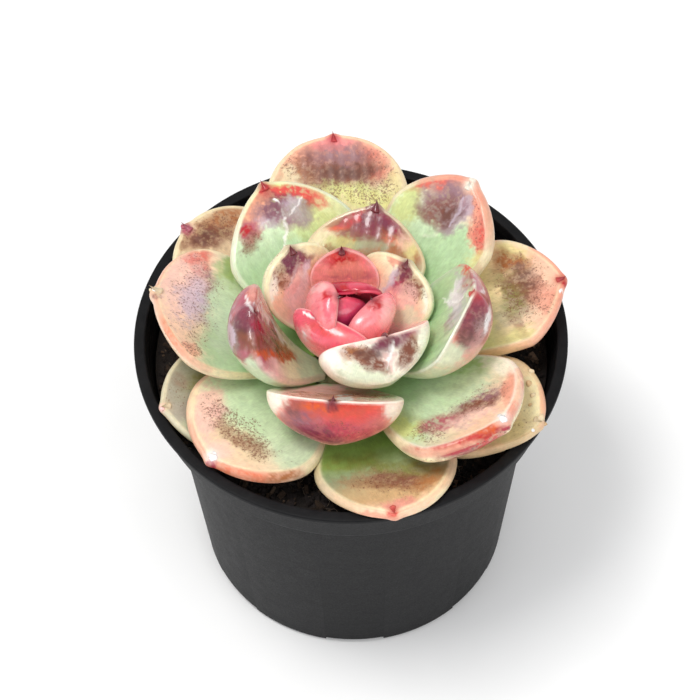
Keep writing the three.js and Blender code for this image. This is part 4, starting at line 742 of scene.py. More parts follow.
        top=[(0, "hotpink"), (1, "crimson")], bot=[(0, "pink"), (.6, "pink"), (1, "pink")], uedge=("blush", .7, .7), lip=("blush", .9), tip="darkred",
        strokes=[("eb", "red", 326, 296, 6, 6, 30, .9, .6), ("eb", "hotpink", 327, 308, 6, 14, 0, .6, .7), ("eb", "blush", 318, 288, 10, 4, 10, .6, .8), ("ea", "gloss", 320, 300, 24, 24, 0, .7, .8)]),
    "bud_leaf_24_back_right": dict(
        top=[(0, "crimson"), (1, "hotpink")], bot=[(0, "crimson"), (.5, "crimson"), (1, "crimson")], uedge=("hotpink", .5, .6), lip=("hotpink", .6), tip="red",
        # the hot pink band along the top at (362, 285) is a painted highlight
        strokes=[("eb", "hotpink", 362, 285, 20, 5, 0, .8, .7), ("eb", "red", 345, 288, 8, 5, -20, .8, .7), ("ea", "gloss", 360, 290, 30, 24, 0, 1.0, .8)]),
    "bud_leaf_25_heart_front": dict(
        top=[(0, "magenta"), (1, "magenta")], bot=[(0, "magenta"), (.6, "magenta"), (1, "hotpink")], uedge=("pink", .5, .6), lip=("pink", .8), tip="hotpink",
        strokes=[("ea", "gloss", 350, 310, 24, 24, 0, .7, .8)]),
    "bud_leaf_26_heart": dict(
        top=[(0, "magenta"), (1, "crimson")], bot=[(0, "magenta"), (1, "hotpink")], uedge=("pink", .5, .5), lip=("pink", .4), tip="darkred",
        strokes=[("ea", "gloss", 344, 298, 24, 24, 0, .7, .8)]),
    "leaf_03_lower_back_right": dict(
        top=[(0, "sage"), (.6, "beige"), (1, "tan")], bot=[(0, "sage"), (1, "tan")], edge=("cream", .5, 2.0), lip=("peach", .6), tip="beige",
        strokes=[("et", "speck", 455, 190, 30, 20, 0, .6, .8)]),
}


# ---------------------------------------------------------------- leaves
def cone(at, axis, radius, length, bend, sides=14, rings=9):
    """the small dry point at a leaf's tip: closed, flared at its foot and a little crooked"""
    axis = axis / np.linalg.norm(axis)
    a = np.cross(axis, [0.31, 0.17, 0.93])
    a /= np.linalg.norm(a)
    b = np.cross(axis, a)
    V, F = [], []
    for r in range(rings):
        t = r / rings
        rad_ = radius * (1.18 * (1 - t) ** 1.55 + 0.10 * (1 - t))
        c = at + axis * length * t + bend * length * 0.16 * t * t
        for q in range(sides):
            an = 2 * np.pi * q / sides
            V.append(c + rad_ * (math.cos(an) * a + math.sin(an) * b) * (1 + 0.07 * math.sin(3 * an + 5 * t)))
    V.append(at + axis * length + bend * length * 0.16)
    V.append(at.copy())
    tip, foot = rings * sides, rings * sides + 1
    for r in range(rings - 1):
        for q in range(sides):
            p = (q + 1) % sides
            F.append([r * sides + q, r * sides + p, (r + 1) * sides + p, (r + 1) * sides + q])
    for q in range(sides):
        p = (q + 1) % sides
        F.append([(rings - 1) * sides + q, (rings - 1) * sides + p, tip])
        F.append([foot, p, q])
    t = np.array([r / rings for r in range(rings) for _ in range(sides)] + [1.0, 0.0])
    return np.array(V), F, t


def blob(at, normal, size, seed, flat=0.6, sides=12, rings=7):
    """a small dry scab: a closed, lumpy, flattened ball"""
    normal = normal / np.linalg.norm(normal)
    a = np.cross(normal, [0.31, 0.87, 0.13])
    a /= np.linalg.norm(a)
    b = np.cross(normal, a)
    V, F = [np.array([0, 0, -flat])], []
    for r in range(1, rings):
        ph = np.pi * r / rings
        for q in range(sides):
            an = 2 * np.pi * q / sides
            V.append(np.array([math.sin(ph) * math.cos(an), math.sin(ph) * math.sin(an), -flat * math.cos(ph)]))
    V.append(np.array([0, 0, flat]))
    V = np.array(V)
    V = V * (1 + 0.34 * noise(V * 1.0 + seed * 7.7, 0.75, seed))[:, None]
    W = at + (V[:, :1] * a + V[:, 1:2] * b + V[:, 2:] * normal) * size
    k = lambda r, q: 1 + (r - 1) * sides + q % sides
    for q in range(sides):
        F.append([0, k(1, q + 1), k(1, q)])
        F.append([len(V) - 1, k(rings - 1, q), k(rings - 1, q + 1)])
        for r in range(1, rings - 1):
            F.append([k(r, q), k(r, q + 1), k(r + 1, q + 1), k(r + 1, q)])
    return W, F


# small scabs and scars: leaf -> [((x, y) in the 700 x 700 view, size, colour)]
SCABS = {
    "leaf_01_outer_front_right": [((531, 372), 0.75, "beige"), ((529, 384), 0.95, "tan"), ((533, 396), 0.7, "beige"), ((530, 405), 0.5, "tan"), ((541, 419), 0.95, "beige"),
                                  ((545, 424), 0.6, "tan"), ((533, 430), 0.4, "white")],
    "leaf_10_middle_left": [((155, 290), 0.75, "white"), ((150, 289), 0.5, "beige")],
    "leaf_07_outer_front_left": [((213, 458), 1.05, "white")],
    "leaf_09_middle_front_right": [((503, 420), 0.95, "white")],
    "leaf_02_outer_left": [((162, 409), 0.6, "blush")],
    "leaf_06_outer_right": [((560, 291), 0.35, "white")],
    "leaf_05_outer_back_left": [((184, 227), 0.7, "mauve")],
}


def press(P, other, gap=0.12):
    """moves points that would lie inside or beyond another leaf up onto its upper face"""
    d = P[:, None, :] - other.M[None]
    g = (d * other.T[None]).sum(-1)
    k = np.clip((g > 0).sum(1) - 1, 0, STEPS - 1)
    i = np.arange(len(P))
    f = np.clip(g[i, k] / np.maximum(g[i, k] - g[i, k + 1], 1e-9), 0, 1)
    mix = lambda A: A[k] * (1 - f)[:, None] + A[k + 1] * f[:, None]
    s = (k + f) * other.L / STEPS
    v = P - mix(other.M)
    E, N = mix(other.E), mix(other.N)
    x, n = (v * E).sum(-1), (v * N).sum(-1)
    l, _ = other.reach(x, s)
    top, _ = other.faces(x, np.clip(s, 0, other.L))
    hit = (l < 1.1) & (n < top + gap) & (g[:, -1] < 0.3) & (n > -other.T0 - 6)
    return P + N * np.where(hit, top + gap - n, 0)[:, None]


PRESSED = {"bud_leaf_25_heart_front": ("bud_leaf_20_front", "bud_leaf_22_right", "bud_leaf_23_left"), "bud_leaf_24_back_right": ("bud_leaf_22_right",)}


# how much of its dish a leaf keeps; below 0 the upper face swells instead
FULLER = {"leaf_12_middle_front": 0.2, "leaf_14_inner_right": 0.3, "leaf_15_inner_front_left": 0.0, "leaf_16_inner_back": -0.4, "leaf_17_inner_front_right": 0.5,
          "leaf_18_inner_back_left": -0.8, "leaf_19_inner_back_right": -0.8, "bud_leaf_21_back": -0.7, "bud_leaf_23_left": 0.4, "bud_leaf_24_back_right": 0.4,
          "leaf_08_outer_back": 0.4, "leaf_05_outer_back_left": 0.4, "leaf_11_middle_back_right": 0.5, "leaf_13_middle_back_left": 0.6}
# soft leaves of the bud swell a little more than their plain solids
PLUMPER = {"bud_leaf_23_left": {"T0": 1.8, "W": 1.12}, "bud_leaf_24_back_right": {"L": 1.12, "T0": 1.2}, "bud_leaf_25_heart_front": {"W": 1.16, "L": 1.10, "T0": 1.3},
           "bud_leaf_26_heart": {"W": 1.55, "L": 1.08, "T0": 1.5}}


# leaves whose underside carries only its own marks
CLEAN = ("leaf_12_middle_front", "leaf_14_inner_right", "leaf_15_inner_front_left", "leaf_17_inner_front_right")


def leaf_mesh(row):
    leaf = Leaf(row)
    for key, value in PLUMPER.get(leaf.name, {}).items():
        setattr(leaf, key, getattr(leaf, key) * value)
    spec = SPEC[leaf.name]
    bud = leaf.name.startswith("bud")
    big = leaf.W > 12
    x, s, n, side, F, foot = leaf.build(0.40 if big else 0.34 if not bud else 0.27, 0.85 if not bud else 0.55)
    l, w = leaf.reach(x, s)
    de = np.clip(1 - l, 0, 1) * w
    v = s / leaf.L
    b = np.minimum(leaf.b, 0.35 * w)
    P0 = leaf.at(x, s, n)
    # the outline wavers a little, and is drawn out towards the point
    m = leaf.sm * leaf.L
    near = step(l, 0.72, 1.0) * step(s, m, leaf.L * 0.97)
    point_x = float(np.clip(leaf.mu, -0.9 * leaf.W, 0.9 * leaf.W))
    s2 = s + (0.75 * leaf.tip ** 0.5) * np.exp(-((x - point_x) / 1.55) ** 2) * near * (0.9 if not bud else 0.5)
    s2 = s2 + 0.16 * fbm(P0, 6.0, 71, 2) * step(l, 0.85, 1.0) * step(v, 0.25, 0.5) * (side < 0.99)
    # the upper face is less hollow towards the heart
    if leaf.name in FULLER:
        n = np.where((side < 0.25) & (de > b), n * FULLER[leaf.name], n)
    # soft unevenness of both faces, none along the edge
    flat = step(de, 0.0, 2.4)
    lump = 0.20 * fbm(P0, 8.5, 41, 2) + 0.055 * fbm(P0, 2.3, 43, 2)
    up = np.where(side < 0.25, 1.0, 0.0)
    n2 = n + lump * flat * np.where(side > 0.75, 0.7, 1.0)
    # the fine rim that runs inside the edge of the upper face
    n2 = n2 + 0.04 * np.exp(-((de - b) / 0.38) ** 2) * up * step(v, 0.15, 0.45)
    # shallow dimples and ribs along the upper face
    n2 = n2 + 0.045 * np.sin(x * 2.1 + 1.3 * noise(P0, 5.0, 47)) * step(de, b[0] * 1.5, b[0] * 3.5) * step(v, 0.25, 0.5) * up
    if leaf.name == "bud_leaf_23_left":      # only its upper part rises above the leaf in front
        knee = 0.46 * leaf.L
        s2 = np.where(s2 < knee, knee - (knee - s2) * (0.30 + 0.35 * np.clip(s2 / knee, 0, 1)), s2)
    P = leaf.at(x, s2, n2)
    # the point
    ps = m + (leaf.L - leaf.b - m) * (1 - (abs(point_x) / leaf.W) ** leaf.n) ** (1 / leaf.n)
    at = leaf.at(np.array([point_x]), np.array([ps + 0.25]), np.array([-0.28]))[0]
    axis = leaf.T[STEPS] * math.sqrt(1 - 0.5 * leaf.lift ** 2) + leaf.N[STEPS] * 0.9 * leaf.lift
    bend = leaf.E[STEPS] * 0.5 + leaf.N[STEPS] * 0.8
    CV, CF, ct = cone(at - axis * 0.65, axis, 0.55 + 0.24 * leaf.tip, leaf.tip * 1.25 + 1.0, bend)
    if leaf.name == "bud_leaf_23_left":      # its foot is tucked in behind the leaf in front
        tuck = 1 - step(v, 0.30, 0.92)
        P = P + np.stack([-0.3 * tuck, 1.9 * tuck, -1.7 * tuck], -1)
    for other in PRESSED.get(leaf.name, ()):
        P = press(P, Leaf([r for r in LEAVES if r[0] == other][0]))
    if leaf.name in ON_LIP:     # the underside flattened where the leaf lies on the pot's lip
        r = np.hypot(P[:, 0], P[:, 1])
        low = POT_H + 0.34
        P[:, 2] = np.where((r > 48.8) & (P[:, 2] < low), low + 0.02 * noise(P, 2, 5), P[:, 2])
    q = seen(P)
    col, spk, wet = paint(leaf, spec, P, x, s, side, de, q)
    # freckles on the hidden underside, towards the tip
    under = step(side, 0.4, 0.9)
    spk = np.maximum(spk, under * 0.55 * step(v + 0.12 * fbm(P, 5, 91), 0.55, 0.95)) if not bud and leaf.name not in CLEAN else spk
    # colour gathers round the point
    d = np.linalg.norm(P - (at + axis * 0.2), axis=1)
    tipc = C[spec.get("tip", "red")]
    mk = np.exp(-(d / (1.15 + 0.25 * leaf.tip)) ** 2) * 0.85
    col = col + (tipc - col) * mk[:, None]
    V, faces = [P], grid_faces(F)
    c = len(P)
    V.append(P[foot].mean(0)[None])
    faces += [[c, foot[i - 1], foot[i]] for i in range(len(foot))]
    cols, spks, wets = [col, col[foot].mean(0)[None]], [spk, [0.0]], [wet, [0.0]]
    fib = np.stack([x / np.maximum(leaf.half(s), 0.5) * leaf.W, s, side * 5.0], -1)
    fibs = [fib, fib[foot].mean(0)[None]]
    base = c + 1

    def join(W, G, colour, extra_wet=0.0):
        nonlocal base
        V.append(W)
        faces.extend([[base + i for i in f] for f in G])
        cols.append(colour)
        spks.append(np.zeros(len(W)))
        wets.append(np.full(len(W), extra_wet))
        fibs.append(np.tile([0.0, 0.0, 0.0], (len(W), 1)) + W * 1.7)
        base += len(W)

    ring = col[np.argmin(d)]
    cc = tipc * (1 - ct[:, None]) * 0.95 + tipc * 0.5 * ct[:, None]
    cc = cc + (ring - cc) * (1 - np.clip(ct * 3.2, 0, 1))[:, None] * 0.6
    join(CV, CF, cc)
    sel = np.where((side < 0.6) & (de < 7))[0]
    for i, ((sx, sy), size, cname) in enumerate(SCABS.get(leaf.name, ())):
        k = sel[np.argmin(np.hypot(q[sel, 0] - sx, q[sel, 1] - sy))]
        N = BACK * 0.7 + np.array([0, 0, 0.3])
        W, G = blob(P[k], N, size, i + 3, 0.62)
        bc = np.tile(C[cname], (len(W), 1)) * (1 + 0.16 * noise(W, 0.5, 7 + i))[:, None]
        low = step((W - P[k]) @ N / size, 0.25, -0.1)
        bc = bc + (C["crimson" if cname == "white" else "brown"] - bc) * low[:, None] * 0.75
        join(W, G, np.clip(bc, 0.003, 0.97))
    F_all = faces
    V = np.vstack(V)
    ob = new_mesh(leaf.name + "_skin", V, F_all, leaf_material(leaf.name))
    set_attr(ob, "paint", "FLOAT_COLOR", np.vstack(cols))
    set_attr(ob, "fibre", "FLOAT_VECTOR", np.vstack(fibs))
    set_attr(ob, "speck", "FLOAT", np.concatenate([np.asarray(a, float) for a in spks]))
    set_attr(ob, "wet", "FLOAT", np.concatenate([np.asarray(a, float) for a in wets]))
    # signed volume of the closed leaf, which shows which way its faces point
    me = ob.data
    me.calc_loop_triangles()
    T = np.array([t.vertices for t in me.loop_triangles])
    vol = np.einsum("ij,ij->i", V[T[:, 0]], np.cross(V[T[:, 1]], V[T[:, 2]])).sum()
    print("LEAF", leaf.name, len(V), len(T), "volume", round(vol / 6, 1))
    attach(ob, "root")
    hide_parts(leaf.name)
    leaf_slot(leaf.name)
    return ob


def leaf_slot(name):
    kind = name.split("_")[2]
    return "bud_leaf" if name.startswith("bud") else ("outer" if kind == "lower" else kind) + "_leaf"


ON_LIP = ("leaf_01_outer_front_right", "leaf_04_outer_front")
SKINS = {}


def leaf_material(name):
    kind = leaf_slot(name)
    if kind not in SKINS:
        SKINS[kind] = {
            "outer_leaf": lambda: leaf_skin("skin_outer", 0.44, 0.08, 0.10),
            "middle_leaf": lambda: leaf_skin("skin_middle", 0.38, 0.22, 0.12),
            "inner_leaf": lambda: leaf_skin("skin_inner", 0.34, 0.55, 0.14),
            "bud_leaf": lambda: leaf_skin("skin_bud", 0.32, 0.55, 0.18),
        }[kind]()
    return SKINS[kind]


for row in LEAVES:
    leaf_mesh(row)


# ---------------------------------------------------------------- turned shapes
def turned(points, sides, centre=(0, 0), shift=None):
    """closed surface of revolution about Z; the first and last point lie on the axis"""
    V, F = [], []
    inner = points[1:-1]
    for r, z in inner:
        for q in range(sides):
            a = 2 * np.pi * q / sides
            V.append((centre[0] + r * math.cos(a), centre[1] + r * math.sin(a), z))
    V.append((centre[0], centre[1], points[0][1]))
    V.append((centre[0], centre[1], points[-1][1]))
    nlo, nhi = len(V) - 2, len(V) - 1
    for i in range(len(inner) - 1):
        for q in range(sides):
            p = (q + 1) % sides
            F.append([i * sides + q, i * sides + p, (i + 1) * sides + p, (i + 1) * sides + q])
    for q in range(sides):
        p = (q + 1) % sides
        F.append([nlo, p, q])
        F.append([nhi, (len(inner) - 1) * sides + q, (len(inner) - 1) * sides + p])
    return np.array(V, float), F


def rounded(points, radii, steps=4):
    """a section with its corners rounded"""
    out = [points[0]]
    for i in range(1, len(points) - 1):
        p, a, b = (np.array(points[j], float) for j in (i, i - 1, i + 1))
        r = radii[i]
        if r <= 0:
            out.append(tuple(p))
            continue
        da, db = (a - p), (b - p)
        la, lb = np.linalg.norm(da), np.linalg.norm(db)
        t = min(r, 0.45 * la, 0.45 * lb)
        s0, s1 = p + da / la * t, p + db / lb * t
        for k in range(steps + 1):
            u = k / steps
            out.append(tuple((1 - u) ** 2 * s0 + 2 * u * (1 - u) * p + u * u * s1))
    out.append(points[-1])
    return out


def evaluated(ob, name, material):
    bpy.context.view_layer.update()
    dg = bpy.context.evaluated_depsgraph_get()
    me = bpy.data.meshes.new_from_object(ob.evaluated_get(dg), preserve_all_data_layers=False, depsgraph=dg)
    me.name = name
    new = bpy.data.objects.new(name, me)
    bpy.context.scene.collection.objects.link(new)
    me.materials.clear()
    me.materials.append(material)
    bpy.data.objects.remove(ob)
    return new


# ---------------------------------------------------------------- pot
def pot_plastic():
    k = Nodes("pot_plastic")
    obj = k.coords((1000, 1000, 1000))
    grain = k.noise(obj, 2.6, 2.0, 0.5)
    dust = k.noise(obj, 0.35, 4.0, 0.6, 0.3)
    flow = k.noise(k.coords((1000 * 0.05, 1000 * 0.05, 1000 * 0.9)), 1.0, 3.0, 0.5)
    tone = k.math("ADD", k.ramp(dust, 0.35, 0.75, 0.0, 0.005, False), k.ramp(flow, 0.3, 0.7, -0.0015, 0.0015, False))
    col = k.node("ShaderNodeCombineColor")
    for i, v in enumerate((0.0042, 0.0043, 0.0052)):
        k.put(col.inputs[i], k.math("ADD", tone, v))
    k.put(k.bsdf.inputs["Base Color"], col.outputs[0])
    k.put(k.bsdf.inputs["Roughness"], k.math("ADD", k.ramp(grain, 0.3, 0.7, 0.50, 0.60, False), k.ramp(dust, 0.3, 0.8, -0.03, 0.06, False)))
    k.bsdf.inputs["Specular IOR Level"].default_value = 0.15
    n = k.bump(grain, 0.00005, 0.5)
    k.put(k.bsdf.inputs["Normal"], n)
    return k.m


innerAt = lambda z: 39.1 + 5.5 * z / 69 - 1.2
section = [(0, 0), (37.9, 0), (39.15, 1.0), (44.6, 69), (49.0, 71.6), (50.2, 82), (52, 82), (52, 83.5), (49.3, 83.5), (49.02, 81.6), (48.94, 81.45), (48.78, 80.9), (48.86, 80.75),
           (48.65, 79.2), (48.57, 79.05), (48.42, 78.5), (48.5, 78.35), (48.28, 76.8), (48.2, 76.65), (48.05, 76.1), (48.13, 75.95), (47.8, 72.5), (innerAt(69), 69.8), (innerAt(1.2), 1.2), (0, 1.2)]
radii = [0, 0.5, 0.4, 1.2, 0.7, 0.5, 0.35, 0.5, 0.5] + [0.0] * 12 + [0.8, 0.8, 1.0, 0]
sec = rounded(section, radii)
PV, PF = turned(sec, 288)
plastic = pot_plastic()
raw = new_mesh("pot_raw", PV, PF, plastic, False)
cut = None
CV, CF = [], []
for kk in range(7):
    mid, hh = math.radians(-91 + 360 / 7 * kk), math.radians(11)
    ring = []
    steps_ = 10
    for i in range(steps_ + 1):
        a = mid - hh + 2 * hh * i / steps_
        ring.append((35.6 * math.cos(a), 35.6 * math.sin(a)))
    outer = [(44 * math.cos(mid - hh + 2 * hh * i / steps_), 44 * math.sin(mid - hh + 2 * hh * i / steps_)) for i in range(steps_ + 1)][::-1]
    loop = ring + outer
    b0 = len(CV)
    m_ = len(loop)
    CV += [(px, py, -3.0) for px, py in loop] + [(px, py, 2.1) for px, py in loop]
    for i in range(m_):
        j = (i + 1) % m_
        CF.append([b0 + i, b0 + m_ + i, b0 + m_ + j, b0 + j])
    CF.append([b0 + i for i in range(m_)])
    CF.append([b0 + m_ + i for i in range(m_)][::-1])
cutter = new_mesh("pot_cut", CV, CF, plastic, False)
mod = raw.modifiers.new("cut", "BOOLEAN")
mod.operation, mod.solver, mod.object = "DIFFERENCE", "EXACT", cutter
pot = evaluated(raw, "pot_shell", plastic)
bpy.data.objects.remove(cutter)
me = pot.data
co = np.array([v_.co for v_ in me.vertices]) / MM
sharp = np.zeros(len(me.edges), bool)
me.polygons.foreach_set("use_smooth", [True] * len(me.polygons))
me.set_sharp_from_angle(angle=math.radians(38))
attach(pot, "root")
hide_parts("pot")


# ---------------------------------------------------------------- soil
def soil_top(X, Y):
    return (73.4 + 1.1 * np.clip((np.hypot(X, Y) - 34) / 9, 0, 1) ** 2
            + 0.45 * (0.5 * np.sin(0.21 * X + 0.8) * np.cos(0.17 * Y - 0.4) + 0.35 * np.sin(0.33 * Y + 0.19 * X) + 0.2 * np.cos(0.45 * X - 0.3 * Y)))


def soil_stuff():
    k = Nodes("peat")
    obj = k.coords((1000, 1000, 1000))
    tint = k.attr("tint").outputs["Color"]
    a = k.noise(obj, 0.55, 4.0, 0.65)
    b = k.noise(obj, 2.4, 4.0, 0.7)
    f = k.math("MULTIPLY", k.ramp(b, 0.3, 0.75, 0.55, 1.5, False), k.ramp(a, 0.3, 0.7, 0.75, 1.25, False))
    shade = k.node("ShaderNodeCombineColor")
    for i in range(3):
        k.put(shade.inputs[i], f)
    k.put(k.bsdf.inputs["Base Color"], k.mix(1.0, tint, shade.outputs[0], "MULTIPLY"))
    k.put(k.bsdf.inputs["Roughness"], k.ramp(b, 0.3, 0.7, 0.82, 0.97, False))
    k.bsdf.inputs["Specular IOR Level"].default_value = 0.3
    k.put(k.bsdf.inputs["Normal"], k.bump(b, 0.0004, 0.8))
    return k.m


rng = np.random.default_rng(5)
peat = soil_stuff()
EDGE = 47.45
rings_r = np.concatenate([np.linspace(0.8, 30, 34), np.linspace(30.6, EDGE, 46)])
SIDES = 220
SV, ST, SF = [], [], []
ang = 2 * np.pi * np.arange(SIDES) / SIDES
for r in rings_r:
    X, Y = r * np.cos(ang), r * np.sin(ang)
    P = np.stack([X, Y, np.zeros_like(X)], -1)
    rough = 0.55 * fbm(P, 2.2, 3, 4) + 0.35 * fbm(P, 5.5, 9, 2)
    near = step(np.full(SIDES, EDGE - r), 0.0, 1.2)
    SV.append(np.stack([X, Y, np.minimum(soil_top(X, Y) + rough * (0.35 + 0.65 * near) - 0.25, 76.2)], -1))
for r, z in ((EDGE, 72.8), (innerAt(69) - 0.3, 70.15), (innerAt(1.5) - 0.3, 1.5)):
    SV.append(np.stack([r * np.cos(ang), r * np.sin(ang), np.full(SIDES, z)], -1))
nr = len(SV)
SV = np.vstack(SV + [np.array([[0, 0, soil_top(0.0, 0.0)], [0, 0, 1.5]])])
for i in range(nr - 1):
    for q in range(SIDES):
        p = (q + 1) % SIDES
        SF.append([i * SIDES + q, (i + 1) * SIDES + q, (i + 1) * SIDES + p, i * SIDES + p])
for q in range(SIDES):
    p = (q + 1) % SIDES
    SF.append([nr * SIDES, q, p])
    SF.append([nr * SIDES + 1, (nr - 1) * SIDES + p, (nr - 1) * SIDES + q])
base_tint = np.array([0.016, 0.012, 0.010])
ST = np.tile(base_tint, (len(SV), 1)) * (1 + 0.5 * fbm(SV, 4.0, 77, 3))[:, None]
chunks_V, chunks_F, chunks_T = [SV], list(SF), [ST]
nbase = len(SV)
CUBE = np.array([(-1, -1, -1), (1, -1, -1), (1, 1, -1), (-1, 1, -1), (-1, -1, 1), (1, -1, 1), (1, 1, 1), (-1, 1, 1)], float)
CUBE_F = [[0, 3, 2, 1], [4, 5, 6, 7], [0, 1, 5, 4], [1, 2, 6, 5], [2, 3, 7, 6], [3, 0, 4, 7]]
for i in range(5200):
    r = math.sqrt(rng.uniform(22.0 ** 2, (EDGE - 0.9) ** 2)) if i % 8 else math.sqrt(rng.uniform(9.5 ** 2, 30.0 ** 2))
    a = rng.uniform(0, 2 * np.pi)
    big = rng.uniform() ** 3
    size = np.array([0.35 + 1.1 * big, 0.25 + 0.6 * big * rng.uniform(0.4, 1), 0.16 + 0.35 * big * rng.uniform(0.4, 1)])
    r = min(r, EDGE - 0.3 - size[0])
    X, Y = r * math.cos(a), r * math.sin(a)
    yaw_, pitch_, roll_ = rng.uniform(0, 2 * np.pi), rng.normal(0, 0.35), rng.normal(0, 0.35)
    cy, sy, cp, sp_, cr, sr = math.cos(yaw_), math.sin(yaw_), math.cos(pitch_), math.sin(pitch_), math.cos(roll_), math.sin(roll_)
    R = np.array([[cy, -sy, 0], [sy, cy, 0], [0, 0, 1]]) @ np.array([[cp, 0, sp_], [0, 1, 0], [-sp_, 0, cp]]) @ np.array([[1, 0, 0], [0, cr, -sr], [0, sr, cr]])
    body = CUBE * size * rng.uniform(0.6, 1.15, (8, 3))
    Z = float(soil_top(X, Y)) + rng.uniform(-0.25, 0.45) + 0.12 * big
    chunks_V.append(body @ R.T + [X, Y, Z])
    chunks_F += [[nbase + j for j in f] for f in CUBE_F]
    kind = rng.uniform()
    if kind < 0.62:
        t = np.array([0.014, 0.010, 0.009]) * rng.uniform(0.6, 1.6)
    elif kind < 0.93:
        t = np.array([0.045, 0.028, 0.018]) * rng.uniform(0.5, 1.4)
    else:
        t = np.array([0.13, 0.085, 0.055]) * rng.uniform(0.5, 1.2)
    chunks_T.append(np.tile(t, (8, 1)))
    nbase += 8
for i in range(110):           # fine roots and peat fibres
    r, a = rng.uniform(33, EDGE - 1.6), rng.uniform(0, 2 * np.pi)
    p = np.array([r * math.cos(a), r * math.sin(a)])
    head = rng.uniform(0, 2 * np.pi)
    n_seg = int(rng.integers(5, 12))
    pts = []
    for j in range(n_seg):
        pts.append([p[0], p[1], float(soil_top(*p)) + 0.42 + 0.25 * math.sin(j * 0.9 + i)])
        head += rng.normal(0, 0.45)
        p = p + 0.75 * np.array([math.cos(head), math.sin(head)])
        if np.hypot(*p) > EDGE - 0.7:
            break
    if len(pts) < 3:
        continue
    pts = np.array(pts)
    rad_ = rng.uniform(0.045, 0.10)
    rows_ = []
    for j, c in enumerate(pts):
        d = pts[min(j + 1, len(pts) - 1)] - pts[max(j - 1, 0)]
        d /= np.linalg.norm(d)
        a1 = np.cross(d, [0, 0, 1.0]); a1 /= np.linalg.norm(a1)
        a2 = np.cross(d, a1)
        for q in range(4):
            an = np.pi / 2 * q
            rows_.append(c + rad_ * (math.cos(an) * a1 + math.sin(an) * a2))
    L_ = len(pts)
    chunks_V.append(np.array(rows_))
    for j in range(L_ - 1):
        for q in range(4):
            p1 = (q + 1) % 4
            chunks_F.append([nbase + j * 4 + q, nbase + j * 4 + p1, nbase + (j + 1) * 4 + p1, nbase + (j + 1) * 4 + q])
    chunks_F.append([nbase + q for q in (3, 2, 1, 0)])
    chunks_F.append([nbase + (L_ - 1) * 4 + q for q in range(4)])
    chunks_T.append(np.tile(np.array([0.20, 0.15, 0.11]) * rng.uniform(0.35, 1.1), (L_ * 4, 1)))
    nbase += L_ * 4
soil = new_mesh("soil_bed", np.vstack(chunks_V), chunks_F, peat, False)
set_attr(soil, "tint", "FLOAT_COLOR", np.clip(np.vstack(chunks_T), 0.002, 0.9))
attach(soil, "root")
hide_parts("potting_soil")


# ---------------------------------------------------------------- stem
def stem_bark():
    k = Nodes("stem_bark")
    obj = k.coords((1000, 1000, 1000))
    a = k.noise(obj, 0.6, 4.0, 0.6)
    b = k.noise(k.coords((1500, 1500, 300)), 1.0, 3.0, 0.6)
    col = k.mix(k.ramp(a, 0.35, 0.65), (0.23, 0.20, 0.09, 1), (0.33, 0.34, 0.16, 1))
    col = k.mix(k.ramp(b, 0.55, 0.75, 0, 0.6), col, (0.16, 0.10, 0.06, 1))
    k.put(k.bsdf.inputs["Base Color"], col)
    k.put(k.bsdf.inputs["Roughness"], k.ramp(b, 0.3, 0.7, 0.6, 0.8, False))
    k.put(k.bsdf.inputs["Normal"], k.bump(b, 0.0003, 0.6))
    return k.m


STEM = [(0, 54), (4.2, 54), (5.8, 62), (7.0, 72), (7.5, 75), (7.1, 77.8), (6.6, 79.6), (5.7, 81.2), (5.3, 83.0), (4.9, 85.2), (4.4, 87.2), (3.9, 88.6), (2.9, 90.0), (2.2, 91.6),
        (1.9, 93.0), (1.0, 94.0), (0, 94.2)]
dense = [STEM[0]]
for (r0, z0), (r1, z1) in zip(STEM[1:-2], STEM[2:-1]):
    n_ = max(1, int(math.hypot(r1 - r0, z1 - z0) / 0.5))
    dense += [(r0 + (r1 - r0) * i / n_, z0 + (z1 - z0) * i / n_) for i in range(n_)]
dense += [STEM[-2], STEM[-1]]
TV, TF = turned(dense, 64, (AXIS_X, AXIS_Y))
ax = TV[:, :2] - [AXIS_X, AXIS_Y]
rr = np.linalg.norm(ax, axis=1)
wob = -0.12 + 0.12 * fbm(TV, 3.0, 5) - 0.14 * np.exp(-(((TV[:, 2] * 0.75 + np.degrees(np.arctan2(ax[:, 1], ax[:, 0])) / 60) % 1.0 - 0.5) / 0.12) ** 2) * (TV[:, 2] > 74)
TV[:, :2] = [AXIS_X, AXIS_Y] + ax * (1 + np.where(rr > 1, wob / np.maximum(rr, 1), 0))[:, None]
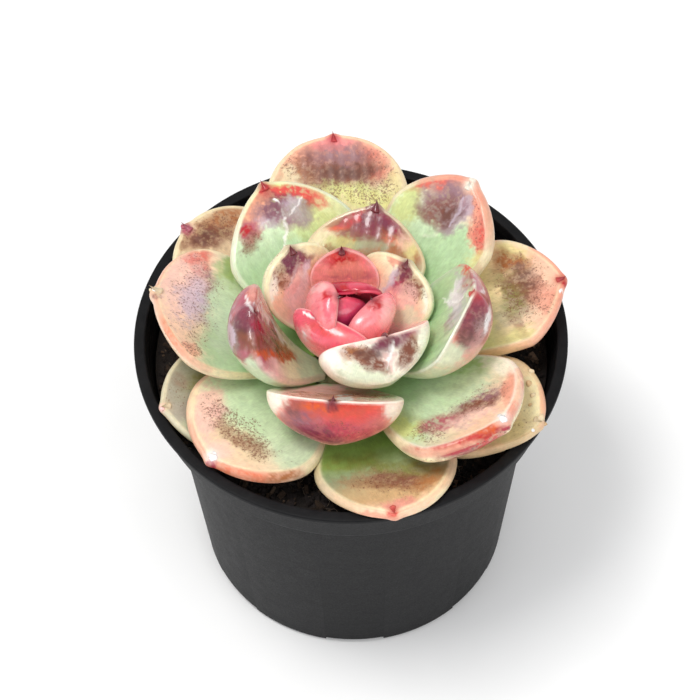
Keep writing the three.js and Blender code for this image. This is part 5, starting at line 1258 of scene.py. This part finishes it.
stem = new_mesh("stem_body", TV, TF, stem_bark())
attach(stem, "root")
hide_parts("stem")


# ---------------------------------------------------------------- floor, lights
def floor_paper():
    k = Nodes("floor_paper")
    a = k.noise(k.coords((30, 30, 30)), 1.0, 2.0, 0.5)
    k.put(k.bsdf.inputs["Base Color"], k.mix(k.ramp(a, 0.3, 0.7), (0.93, 0.93, 0.93, 1), (0.95, 0.95, 0.95, 1)))
    k.bsdf.inputs["Roughness"].default_value = 0.95
    k.bsdf.inputs["Specular IOR Level"].default_value = 0.1
    return k.m


floor = new_mesh("floor", [(-3000, -3000, 0), (3000, -3000, 0), (3000, 3000, 0), (-3000, 3000, 0)], [[0, 1, 2, 3]], floor_paper(), False)

world = bpy.data.worlds.new("studio")
world.use_nodes = True
world.node_tree.nodes["Background"].inputs["Color"].default_value = (1.0, 1.0, 1.0, 1)
world.node_tree.nodes["Background"].inputs["Strength"].default_value = 0.74
bpy.context.scene.world = world


def softbox(name, at, size, watts, colour=(1, 1, 1), aim=(0, 0, 80)):
    d = bpy.data.lights.new(name, "AREA")
    d.shape, d.size, d.size_y = "RECTANGLE", size[0] * MM, size[1] * MM
    d.energy, d.color = watts, colour
    ob = bpy.data.objects.new(name, d)
    bpy.context.scene.collection.objects.link(ob)
    ob.location = Vector(at) * MM
    ob.rotation_euler = (Vector(aim) - Vector(at)).to_track_quat("-Z", "Y").to_euler()
    return ob


softbox("key", (-230, -90, 900), (300, 220), 3.7, (1.0, 0.99, 0.97))
softbox("fill", (420, -560, 700), (500, 500), 1.6, (0.97, 0.98, 1.0))
softbox("left", (-700, -420, 260), (240, 520), 0.9, (0.93, 0.96, 1.0), (0, 0, 40))

scene = bpy.context.scene
scene.view_settings.view_transform = "Standard"
scene.view_settings.look = "None"
scene.view_settings.exposure = 0.0
scene.view_settings.gamma = 1.0

for o in bpy.data.objects:
    if o.type == "MESH" and not o.hide_render and "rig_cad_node" not in o:
        print("PIECE", o.name, sum(len(p_.vertices) - 2 for p_ in o.data.polygons))
